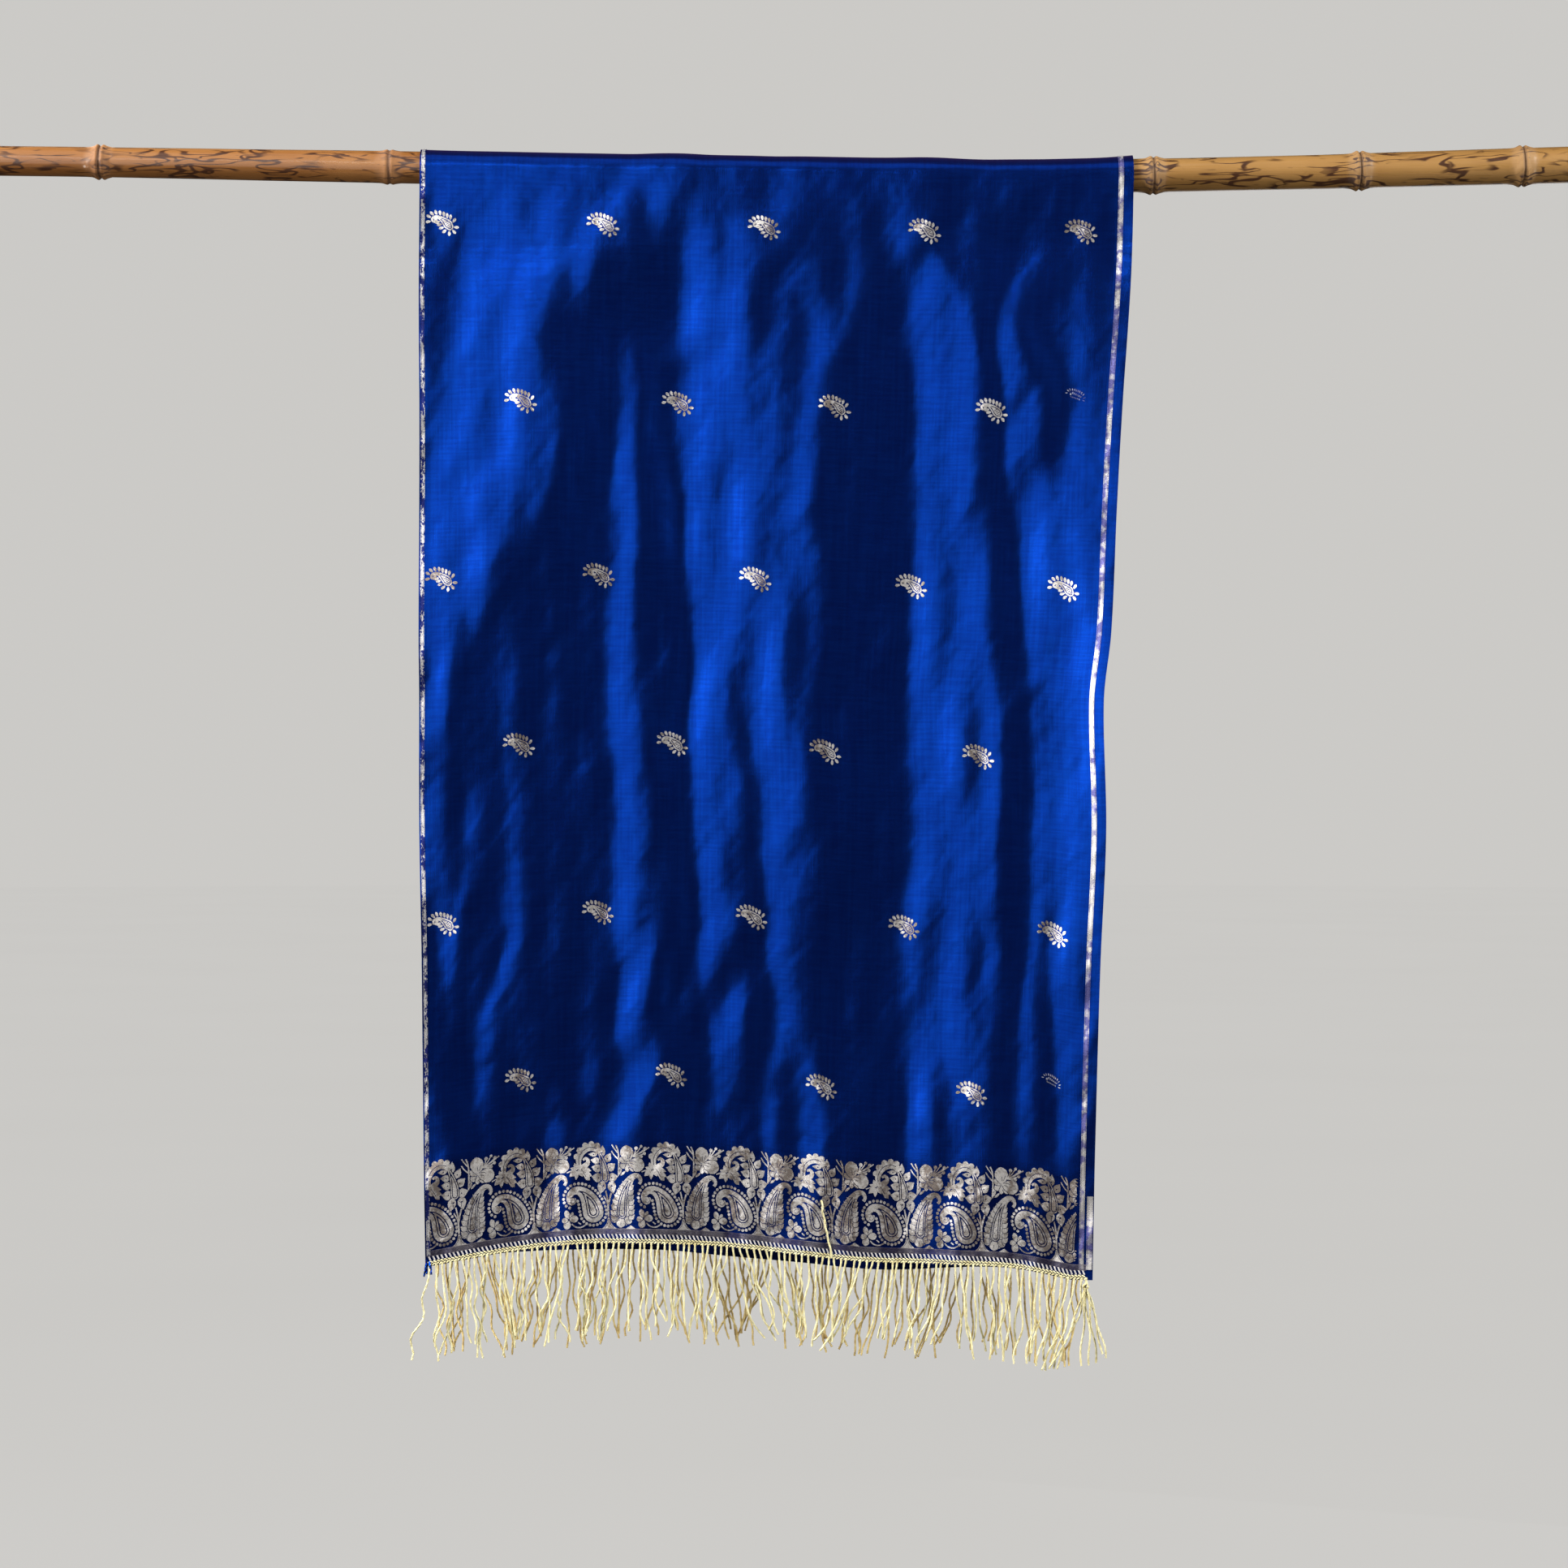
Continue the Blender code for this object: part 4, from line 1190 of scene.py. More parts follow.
class Drawing:
    """A flat woven figure in millimetres, painted patch over patch, y up the cloth."""

    HEIGHT = 0.00022
    CLEARANCE = 0.35

    def __init__(self, name: str, grain: float = 2.4) -> None:
        """Starts an empty drawing whose broad patches are split about every grain."""
        self.name = name
        self.grain = grain
        self.patches: list[tuple[list[Pair], Weave]] = []

    def patch(self, outline: Outline, weave: Weave = Weave.ZARI) -> None:
        """Paints one simple closed outline."""
        area = sum(a[0] * b[1] - b[0] * a[1] for a, b in zip(outline, [*outline[1:], outline[0]]))
        if abs(area) > 1e-4:
            self.patches.append((list(outline if area > 0 else outline[::-1]), weave))

    def disc(self, x: float, y: float, radius: float, weave: Weave = Weave.ZARI,
             sides: int = 7) -> None:
        """Paints a round spot."""
        turn = [2 * math.pi * k / sides for k in range(sides)]
        self.patch([(x + radius * math.cos(a), y + radius * math.sin(a)) for a in turn], weave)

    def leaf(self, x: float, y: float, degrees: float, length: float, width: float,
             weave: Weave = Weave.ZARI, form: Outline = SLIM, gap: float = 0.0) -> None:
        """Paints a leaf that starts at a place and points a way.

        Args:
            x: Where the leaf starts, across.
            y: Where the leaf starts, upwards.
            degrees: The way it points.
            length: Its length.
            width: Its full width.
            weave: What it is made of.
            form: Its right edge as (share of length, share of width).
            gap: Width of the bare line kept round it.
        """
        c, s = aim_of(degrees)
        if gap:
            self.leaf(x - gap * c, y - gap * s, degrees, length + 2 * gap, width + 2.4 * gap,
                      Weave.GROUND, form)
        shape = [*form, *((t, -w) for t, w in reversed(form) if w > 0)]
        self.patch([(x + length * t * c - width * w * s, y + length * t * s + width * w * c)
                    for t, w in shape], weave)

    def leaves(self, rows: Sequence[Sequence[float]], **looks: object) -> None:
        """Paints a leaf for every row of x, y, degrees, length and width."""
        for row in rows:
            self.leaf(*row, **looks)

    def drop(self, spine: Spine, bites: Sequence[float]) -> None:
        """Paints nested drops on one spine, by turns bare and zari, each smaller by its bite."""
        for number, bite in enumerate(bites):
            self.ribbon(spine, (Weave.GROUND, Weave.ZARI)[number % 2], thinner=bite)

    def ribbon(self, spine: Spine, weave: Weave = Weave.ZARI, thinner: float = 0.0,
               step: float = 1.3) -> None:
        """Paints a smooth band whose half width follows its spine.

        Args:
            spine: Places x, y and the half width at each.
            weave: What the band is made of.
            thinner: How much is taken off every half width; where none is left, nothing is painted.
            step: Length of the short patches that make the band.
        """
        run = walk_spine(spine, step)
        blunt = run[0][2] - thinner
        if blunt > 0.9:
            self.disc(run[0][0], run[0][1], blunt, weave, sides=14)
        sides = []
        for i, (x, y, w) in enumerate(run):
            (ax, ay, _), (bx, by, _) = run[max(i - 1, 0)], run[min(i + 1, len(run) - 1)]
            length = math.hypot(bx - ax, by - ay) or 1.0
            nx, ny = -(by - ay) / length, (bx - ax) / length
            half = w - thinner
            sides.append(((x + nx * half, y + ny * half), (x - nx * half, y - ny * half), half))
        for (a, b, h), (d, c, k) in zip(sides, sides[1:]):
            if min(h, k) > 0 and max(h, k) > 0.05:
                mx, my = (a[0] + b[0] + c[0] + d[0]) / 4, (a[1] + b[1] + c[1] + d[1]) / 4
                corners = sorted((a, b, c, d), key=lambda p: math.atan2(p[1] - my, p[0] - mx))
                self.patch(corners, weave)

    def line(self, points: Outline, width: float, weave: Weave = Weave.ZARI) -> None:
        """Paints a smooth line of even width."""
        self.ribbon([(x, y, width / 2) for x, y in points], weave, step=1.6)

    def cut(self, points: Outline, width: float) -> None:
        """Leaves a line of bare ground in what is painted."""
        self.line(points, width, Weave.GROUND)

    def mesh(self) -> Mesh:
        """Turns the painted zari into a mesh with a raised top and rims down to the cloth.

        Returns:
            A mesh in metres, with x across and y along the travel, and its height in z.
        """
        corners: list[Pair] = []
        faces: list[list[int]] = []
        for outline, _ in self.patches:
            faces.append(list(range(len(corners), len(corners) + len(outline))))
            corners.extend(outline)
        xy = np.array(corners)
        ranges = (np.arange(low, high, self.grain) for low, high in zip(xy.min(0), xy.max(0)))
        spare = np.stack([grid.ravel() for grid in np.meshgrid(*ranges)], axis=1)
        clear = np.array([np.min(np.sum((xy - p) ** 2, axis=1)) > self.CLEARANCE for p in spare])
        every = [Vector(p) for p in np.concatenate([xy, spare[clear]])]
        found, _, tris, _, _, owners = delaunay_2d_cdt(every, [], faces, 0, 1e-5, True)
        kept = [t for t, own in zip(tris, owners)
                if own and self.patches[max(own)][1] is Weave.ZARI]
        used = sorted({v for t in kept for v in t})
        number = {v: i for i, v in enumerate(used)}
        top = np.array([(found[v][0], -found[v][1]) for v in used]) * MM
        turned = [[number[v] for v in t] for t in kept]
        count = len(used)
        sides = {edge: None for a, b, c in turned for edge in ((a, b), (b, c), (c, a))}
        rim = [e for e in sides if (e[1], e[0]) not in sides]
        points = np.zeros((count * 2, 3))
        points[:count, :2] = points[count:, :2] = top
        points[:count, 2] = self.HEIGHT
        walls = [[a, a + count, b] for a, b in rim] + [[b, a + count, b + count] for a, b in rim]
        return new_mesh(self.name, points, turned + walls)


def walk_spine(spine: Spine, step: float) -> list[Triple]:
    """Walks a smooth curve through a spine in even steps.

    Args:
        spine: Places x, y and a third value carried along.
        step: Length of a step.

    Returns:
        The places on the curve, first and last included.
    """
    rough = np.asarray(spine, float)
    if len(rough) == 2:
        dense = rough[0] + (rough[1] - rough[0]) * np.linspace(0, 1, 12)[:, None]
    else:
        steps = np.hypot(*np.diff(rough[:, :2], axis=0).T)
        knots = np.concatenate([[0.0], np.cumsum(steps + 1e-6)])
        fine = np.linspace(0, knots[-1], 24 * len(rough))
        dense = np.stack([smooth_between(knots, rough[:, k], fine) for k in range(3)], axis=1)
    run = np.concatenate([[0.0], np.cumsum(np.hypot(*np.diff(dense[:, :2], axis=0).T))])
    stops = np.linspace(0, run[-1], max(2, round(run[-1] / step) + 1))
    return [tuple(float(np.interp(s, run, dense[:, k])) for k in range(3)) for s in stops]


def outline_of(spine: Spine, grow: float, step: float) -> list[Triple]:
    """Points round a ribbon at a distance outside it, each with its outward way in degrees."""

    def beside(x: float, y: float, w: float, aim: float) -> Triple:
        """Point on one side of a place on the spine, the given way from it."""
        return x + (w + grow) * math.cos(aim), y + (w + grow) * math.sin(aim), math.degrees(aim)

    run = walk_spine(spine, 0.4)
    left, right = [], []
    for i, place in enumerate(run):
        (ax, ay, aw), (bx, by, bw) = run[max(i - 1, 0)], run[min(i + 1, len(run) - 1)]
        way = math.atan2(by - ay, bx - ax)
        swell = (bw - aw) / max(math.hypot(bx - ax, by - ay), 1e-6)
        turn = math.acos(max(-0.95, min(0.95, -swell)))
        left.append(beside(*place, way + turn))
        right.append(beside(*place, way - turn))
    first = left[0][2]
    sweep = (right[0][2] - first) % 360
    arc = [(*beside(*run[0], math.radians(a))[:2], a)
           for a in np.arange(first, first + sweep, 4.0)]
    picked: list[Triple] = []
    for x, y, a in left[::-1] + arc + right:
        inside = any(math.hypot(x - sx, y - sy) < sw + grow * 0.86 for sx, sy, sw in run)
        if not inside and all(math.hypot(x - px, y - py) >= step for px, py, _ in picked):
            picked.append((x, y, a))
    return picked


@dataclass
class Butti:
    """The small scattered paisley: an outlined drop with a ring of leaves."""

    spine: Spine = (
        (4.8, -2.4, 2.9), (3.6, -0.9, 3.6), (0.9, 1.6, 2.7), (-1.8, 3.6, 1.8), (-4.4, 4.8, 1.3),
        (-6.7, 4.9, 1.1), (-8.5, 4.0, 1.0), (-9.1, 2.4, 0.9), (-7.9, 1.0, 0.7),
    )
    leaf_length: float = 3.9
    leaf_width: float = 2.3
    leaf_pitch: float = 2.45

    def draw(self) -> Mesh:
        """Draws the figure."""
        art = Drawing("butti", grain=2.6)
        for x, y, way in outline_of(self.spine, 0.45, self.leaf_pitch):
            way = (way + 180) % 360 - 180
            lean = 26 if 0 < way < 150 else -22 if way < -95 else 0
            art.leaf(x, y, way + lean, self.leaf_length, self.leaf_width, form=PETAL)
        art.ribbon(self.spine)
        art.drop(self.spine[:4], (1.0, 1.65))
        for x, y in ((4.9, -2.6), (4.1, -1.4), (3.2, -0.2), (2.2, 0.9)):
            art.cut(((x - 1.0, y - 0.5), (x + 1.0, y + 0.6)), 0.5)
        return art.mesh()


@dataclass
class GhostButti:
    """The faint paisley where a row's thread ran thin: only strokes of its leaves show."""

    stroke: float = 0.85
    size: float = 0.7

    def draw(self) -> Mesh:
        """Draws the figure."""
        art = Drawing("ghost_butti")
        for x, y, way in outline_of(Butti().spine, 0.1, 1.9):
            way = (way + 180) % 360 - 180
            if -75 < way < 175:
                art.leaf(x, y, way + 18, 3.0, self.stroke)
        for k in range(6):
            art.leaf(-4.6 + 1.7 * k, 2.6 - 0.7 * k, 72 - 11 * k, 2.6, self.stroke)
            art.leaf(-6.4 + 2.0 * k, 0.4 - 0.6 * k, -60 - 4 * k, 1.8, self.stroke * 0.8)
        made = art.mesh()
        made.transform(Matrix.Diagonal((self.size, self.size, 1.0, 1.0)))
        return made


@dataclass
class BorderRepeat:
    """One repeat of the border: two big paisleys below, a plume and a spray above."""

    pitch: float = 62.5
    widening: float = 1.033

    def draw(self) -> Mesh:
        """Draws the repeat about the foot of its forked stem."""
        art = Drawing("border_repeat", grain=2.6)
        self.leafy_paisley(art)
        self.small_blossom(art)
        self.beaded_paisley(art)
        self.spray(art)
        self.plume(art)
        self.mound_and_stem(art)
        made = art.mesh()
        made.transform(Matrix.Diagonal((self.widening, 1.0, 1.0, 1.0)))
        return made

    def mound_and_stem(self, art: Drawing) -> None:
        """The mound at the stem's foot, the forked stem and its two heart leaves."""
        art.patch([(-5.6, 0), (-3.4, 1.7), (-1.7, 4.4), (-0.8, 8.6), (0.4, 8.6), (1.7, 4.4),
                   (3.6, 1.7), (6.2, 0)])
        for x, bend, top in ((-3.5, -1.2, -0.5), (4.0, 1.3, 0.2)):
            art.cut(((x, 0.5), (bend, 3.6), (top, 7.4)), 0.38)
        art.patch([(13.8, 0), (17.8, 2.7), (21.8, 0)])
        art.line(((-0.3, 9.2), (-0.5, 14.0), (-0.8, 19.4)), 1.4)
        art.line(((-0.8, 18.4), (-1.3, 24.0), (-2.6, 29.8)), 1.1)
        art.line(((-0.6, 17.4), (0.6, 23.0), (2.0, 28.0)), 1.3)
        art.line(((-1.1, 19.6), (-2.8, 23.0), (-4.2, 25.6)), 0.9)
        for x, way in ((-5.0, 259), (1.7, 281)):
            art.leaf(x, 37.0, way, 10.0, 7.0, form=BROAD)
            art.cut(((x - 1.2, 34.2), (x + 0.3, 32.6), (x + 0.2, 29.8)), 0.45)
            art.disc(x + 0.7, 33.6, 0.7, Weave.GROUND)

    def leafy_paisley(self, art: Drawing) -> None:
        """Upright paisley built of side leaves about a long drop, on round petals."""
        art.ribbon((
            (11.2, 11.0, 9.0), (11.4, 17.0, 8.9), (12.0, 23.0, 7.8), (13.0, 28.5, 6.3),
            (14.6, 33.6, 4.6), (17.0, 38.2, 3.1), (19.8, 41.2, 2.3), (22.8, 42.0, 1.9),
            (25.2, 40.2, 1.6), (25.7, 37.4, 1.4), (24.6, 35.4, 1.2),
        ))
        for x, y, size in ((9.8, 4.6, 7.6), (15.8, 6.6, 6.2), (4.4, 7.4, 5.8)):
            aim = math.atan2(y - 11.0, x - 10.6)
            c, s = math.cos(aim), math.sin(aim)
            art.leaf(x - size * 0.5 * c, y - size * 0.5 * s, math.degrees(aim), size, size * 0.98,
                     form=PETAL, gap=0.45)
            art.cut(((x, y + 0.6), (x + 2.2 * c, y + 2.2 * s)), 0.42)
        for x, y in ((5.8, 6.4), (5.6, 10.6), (6.2, 14.8), (7.4, 19.0), (9.0, 23.0), (11.0, 26.8),
                     (13.2, 30.2), (15.6, 33.6)):
            art.leaf(x, y, 139, 6.0, 4.4, form=BROAD, gap=0.36)
        for x, y in ((16.6, 7.5), (16.7, 11.4), (16.6, 15.3), (16.4, 19.2), (16.2, 23.1),
                     (16.0, 27.0), (16.0, 30.8)):
            art.leaf(x, y, 41, 5.8, 4.2, form=BROAD, gap=0.36)
        art.drop(((10.6, 11.6, 3.3), (11.0, 18.8, 3.0), (12.2, 26.0, 2.3), (14.2, 32.0, 1.5),
                  (16.8, 37.4, 0.7)), LONG_BITES)
        for x, y in ((10.2, 9.9), (11.2, 12.2), (10.1, 14.2), (11.6, 16.2), (10.4, 18.6)):
            art.disc(x, y, 0.5, Weave.GROUND, sides=4)
        art.cut(((20.6, 40.4), (23.2, 40.6), (24.6, 38.6), (24.2, 36.8)), 0.42)

    def small_blossom(self, art: Drawing) -> None:
        """Lobed blossom between the paisleys, with a tendril."""
        art.leaves((
            (-33.0, 8.8, 104, 7.0, 4.2), (-31.4, 9.2, 64, 5.2, 2.8), (-31.8, 8.2, 4, 6.8, 5.6),
            (-32.8, 7.4, 254, 6.8, 5.8), (-33.2, 8.2, 190, 4.8, 4.4),
        ), form=PETAL, gap=0.4)
        art.disc(-32.5, 8.2, 0.8, Weave.GROUND)
        art.line(((-30.2, 4.8), (-27.2, 2.2), (-22.8, 1.5), (-19.2, 3.2)), 1.0)
        art.line(((-25.0, 5.6), (-22.8, 3.9)), 1.0)

    def beaded_paisley(self, art: Drawing) -> None:
        """Big curling paisley with nested drops and a ring of beads."""
        spine: Spine = (
            (-12.7, 13.2, 8.4), (-14.3, 18.4, 7.8), (-16.7, 23.6, 6.4), (-20.2, 28.0, 4.7),
            (-24.4, 30.5, 3.4), (-28.4, 30.4, 2.8), (-31.4, 27.6, 2.4), (-32.3, 24.4, 2.0),
            (-31.4, 21.6, 1.7), (-29.4, 20.6, 1.5),
        )
        for x, y, _ in outline_of(spine, 2.2, 2.75):
            art.disc(x, y, 1.2, sides=8)
        art.ribbon(spine)
        art.disc(-29.8, 22.4, 3.0, sides=14)
        art.cut(((-31.6, 25.2), (-29.4, 25.6), (-27.7, 24.0), (-27.7, 21.8), (-29.4, 20.7),
                 (-31.0, 21.6), (-30.9, 23.3), (-29.6, 23.6)), 0.4)
        art.drop(spine[:5], (3.3, 4.1, 5.2, 6.1))
        art.cut(((-19.4, 26.6), (-22.4, 29.0), (-25.4, 29.6)), 0.45)
        art.cut(((-14.4, 14.0), (-16.0, 19.0), (-17.6, 22.6)), 0.5)

    def plume(self, art: Drawing) -> None:
        """Arching plume above the stem, its long drop, side leaves, curl and hanging lobes."""
        for x, y, degrees, length, width in (
            (-0.4, 39.6, 12, 8.4, 7.2), (-1.2, 46.2, 38, 8.2, 6.8), (-2.4, 52.6, 60, 8.0, 5.8),
            (-5.6, 57.0, 86, 8.8, 5.2), (-5.8, 39.6, 170, 8.4, 7.4), (-6.2, 46.8, 166, 8.2, 6.6),
            (-7.2, 53.0, 170, 7.8, 5.4), (-9.6, 58.4, 176, 7.2, 3.6),
        ):
            art.leaf(x, y, degrees, length, width, form=BROAD, gap=0.4)
            c, s = aim_of(degrees)
            art.disc(x + 2.7 * c, y + 2.7 * s, 0.6, Weave.GROUND, sides=5)
        arch: Spine = (
            (-8.0, 59.8, 1.9), (-9.6, 63.0, 2.8), (-13.8, 64.4, 2.9), (-18.4, 63.4, 2.9),
            (-22.0, 60.4, 2.7), (-24.2, 55.8, 2.3), (-24.1, 50.6, 1.8), (-21.6, 46.0, 1.5),
            (-19.0, 42.0, 1.3), (-17.6, 39.0, 0.9),
        )
        art.leaves(((-20.6, 47.2, -14, 6.8, 4.0), (-18.8, 43.8, -24, 5.8, 3.8),
                    (-18.0, 41.0, -48, 3.8, 3.4)), form=BROAD)
        for x, y, degrees in ((-10.4, 63.6, 58), (-14.6, 64.8, 76), (-18.8, 63.8, 100),
                              (-22.4, 60.6, 130), (-24.2, 56.4, 152)):
            art.leaf(x, y, degrees, 4.4, 4.6, form=PETAL)
        art.ribbon(arch)
        art.cut([(x, y) for x, y, _ in arch[1:7]], 0.5)
        art.ribbon(((-22.8, 48.6, 1.6), (-19.6, 49.8, 2.1), (-17.2, 51.6, 1.8), (-17.0, 54.2, 1.4),
                    (-19.0, 55.8, 1.1), (-20.8, 54.4, 0.8)))
        art.cut(((-22.4, 47.4), (-20.2, 44.4), (-18.4, 41.0)), 0.42)
        art.drop(((-3.1, 39.4, 3.2), (-3.4, 45.0, 3.0), (-4.4, 50.0, 2.3), (-5.8, 54.6, 1.6),
                  (-7.8, 59.6, 0.9)), LONG_BITES)
        art.leaves(((-26.0, 47.6, 110, 5.2, 3.4), (-26.6, 46.4, 222, 6.8, 4.6),
                    (-26.0, 46.0, 266, 6.8, 3.6), (-25.0, 46.6, 306, 6.2, 3.2),
                    (-26.8, 47.4, 164, 4.4, 2.8)))
        art.line(((-24.6, 48.4), (-26.6, 46.8), (-30.2, 46.4), (-34.0, 45.0)), 0.8)

    def spray(self, art: Drawing) -> None:
        """Spray of bare twigs, a big open blossom and buds."""
        art.line(((7.8, 41.4), (8.1, 48.0), (8.2, 55.2), (7.4, 62.0), (5.8, 65.6)), 1.1)
        art.line(((8.1, 54.4), (4.4, 58.0), (2.3, 61.2)), 0.95)
        art.line(((7.5, 59.6), (4.6, 63.0), (2.5, 66.2)), 0.85)
        art.leaves(((8.4, 42.6, 66, 5.6, 1.9), (9.8, 42.0, 42, 5.6, 1.9),
                    (8.2, 46.4, 58, 4.2, 1.9)))
        art.leaves((
            (15.6, 51.6, 206, 6.8, 5.4), (15.4, 52.6, 156, 7.2, 5.4), (15.7, 51.4, 262, 6.6, 3.8),
            (15.8, 53.0, 99, 12.8, 10.8), (16.6, 52.0, -12, 12.2, 11.4),
            (16.4, 48.0, -36, 4.6, 1.7),
        ), form=PETAL, gap=0.45)
        for line in (((17.2, 53.2), (19.8, 53.6), (22.2, 52.4)), ((17.2, 51.8), (20.4, 50.8)),
                     ((15.6, 55.0), (15.0, 58.6)), ((16.6, 55.2), (18.2, 59.4))):
            art.cut(line, 0.42)
        art.disc(16.0, 52.3, 1.0)
        for x, y, radius in ((22.2, 63.6, 1.5), (26.2, 65.2, 1.2), (29.4, 63.4, 1.5),
                             (28.8, 59.6, 1.35), (26.2, 57.0, 1.35), (32.2, 64.2, 0.6)):
            art.line(((19.4, 57.0), ((19.4 + x) / 2 + 0.4, (57.0 + y) / 2 - 0.4), (x, y)), 0.8)
            art.disc(x, y, radius)


# ---- Laying drawings on the cloth --------------------------------------------

class FlatLayer:
    """Copies flat pieces over flat places and lifts them onto the cloth's surface."""

    SCALE = 0.5
    OFFSET = 0.5

    def __init__(self, guide: Object) -> None:
        """Builds the node tree once."""
        self.guide = guide
        takes = {"Places": "Geometry", "Piece": "Object", "Cloth": "Object", "Lift": "Float",
                 "Turn": "Float", "Leftmost": "Float", "Rightmost": "Float", "Finish": "Material"}
        bench, get, give = open_group("laid_on_cloth", "GeometryNodeTree", takes,
                                      {"Laid": "Geometry"})
        piece = bench.add("GeometryNodeObjectInfo", {"Object": get["Piece"]}).outputs["Geometry"]
        turn = bench.add("ShaderNodeCombineXYZ", {"Z": get["Turn"]}).outputs[0]
        copies = bench.add("GeometryNodeInstanceOnPoints",
                           {"Points": get["Places"], "Instance": piece, "Rotation": turn})
        flat = bench.add("GeometryNodeRealizeInstances", {"Geometry": copies.outputs[0]}).outputs[0]
        place = bench.add("GeometryNodeInputPosition").outputs[0]
        across, _, height = bench.split(place)
        outside = bench.sum("MAXIMUM", bench.sum("LESS_THAN", across, get["Leftmost"]),
                            bench.sum("GREATER_THAN", across, get["Rightmost"]))
        kept = bench.add("GeometryNodeDeleteGeometry", {"Geometry": flat, "Selection": outside},
                         domain="FACE")
        mapped = bench.add("GeometryNodeStoreNamedAttribute",
                           {"Geometry": kept.outputs[0], "Name": FLAT_MAP},
                           data_type="FLOAT2", domain="CORNER")
        bench.put(self._value(mapped.inputs), place)
        info = bench.add("GeometryNodeObjectInfo", {"Object": get["Cloth"]}).outputs["Geometry"]
        at = bench.vector("MULTIPLY_ADD", place, (self.SCALE,) * 3, (self.OFFSET,) * 3)
        kind = "GeometryNodeInputNamedAttribute"
        source, outward = (bench.add(kind, {"Name": name}, data_type="FLOAT_VECTOR").outputs[0]
                           for name in (FLAT_MAP, OUTWARD))
        where, way = (self._sample(bench, info, value, source, at) for value in (place, outward))
        rise = bench.sum("ADD", height, get["Lift"])
        lift = bench.vector("SCALE", way)
        bench.put(lift.node.inputs["Scale"], rise)
        moved = bench.add("GeometryNodeSetPosition", {"Geometry": mapped.outputs[0],
                                                      "Position": bench.vector("ADD", where, lift)})
        finish_group(bench, moved.outputs[0], get["Finish"], give["Laid"])
        self.tree = bench.tree

    @staticmethod
    def _value(sockets: Iterable[Socket]) -> Socket:
        """The value socket in use among a node's many."""
        return next(s for s in sockets if s.name == "Value" and s.enabled)

    def _sample(self, bench: Bench, mesh: Socket, value: Socket, source: Socket,
                at: Socket) -> Socket:
        """Reads a vector of the guide at a flat place."""
        inputs = {"Mesh": mesh, "UV Map": source, "Sample UV": at}
        node = bench.add("GeometryNodeSampleUVSurface", inputs, data_type="FLOAT_VECTOR")
        bench.put(self._value(node.inputs), value)
        return self._value(node.outputs)

    def lay(self, name: str, art: Mesh, places: Sequence[Pair],
            finish: Material, lift: float = 0.00042, turn: float = 0.0,
            trim: Pair = (-1.0, 1.0), smooth: float = 50) -> Object:
        """Lays copies of a flat piece on the cloth.

        Args:
            name: Name of the finished object.
            art: The flat piece, in metres.
            places: Flat places of the copies, in metres.
            finish: Material of the copies.
            lift: Height of the piece's underside above the cloth's middle layer.
            turn: Turn of every copy in the flat, in radians.
            trim: Flat places left and right beyond which faces are cut away.
            smooth: Angle in degrees above which an edge stays sharp.

        Returns:
            The finished object, with plain geometry.
        """
        stencil = new_object(f"{name}_stencil", art)
        points = bpy.data.meshes.new(f"{name}_places")
        points.from_pydata([(u, v, 0.0) for u, v in places], [], [])
        carrier = new_object(f"{name}_carrier", points)
        values = {"Piece": stencil, "Cloth": self.guide, "Lift": lift, "Turn": turn,
                  "Leftmost": trim[0], "Rightmost": trim[1], "Finish": finish}
        made = bake_tree(carrier, self.tree, values, name)
        bpy.data.objects.remove(stencil)
        shade(made.data, smooth)
        return made


def finish_group(bench: Bench, geometry: Socket, finish: Socket, give: Socket) -> None:
    """Ends a geometry group with plain geometry in one material."""
    real = bench.add("GeometryNodeRealizeInstances", {"Geometry": geometry})
    done = bench.add("GeometryNodeSetMaterial", {"Geometry": real.outputs[0], "Material": finish})
    bench.put(give, done.outputs[0])


def bake_tree(carrier: Object, tree: Tree, values: dict[str, object], name: str) -> Object:
    """Runs a Geometry Nodes tree on an object and keeps the plain mesh it makes.

    Args:
        carrier: Object with the tree's input geometry; it is removed.
        tree: The tree to run.
        values: Values of the tree's inputs by name.
        name: Name of the finished object.

    Returns:
        A new object with the made mesh.
    """
    modifier = carrier.modifiers.new("tree", "NODES")
    modifier.node_group = tree
    for item in tree.interface.items_tree:
        if item.item_type == "SOCKET" and item.in_out == "INPUT" and item.name in values:
            modifier[item.identifier] = values[item.name]
    carrier.update_tag()
    bpy.context.view_layer.update()
    graph = bpy.context.evaluated_depsgraph_get()
    mesh = bpy.data.meshes.new_from_object(carrier.evaluated_get(graph),
                                           preserve_all_data_layers=True, depsgraph=graph)
    mesh.name = name
    carrier.modifiers.remove(modifier)
    bpy.data.objects.remove(carrier)
    return new_object(name, mesh)


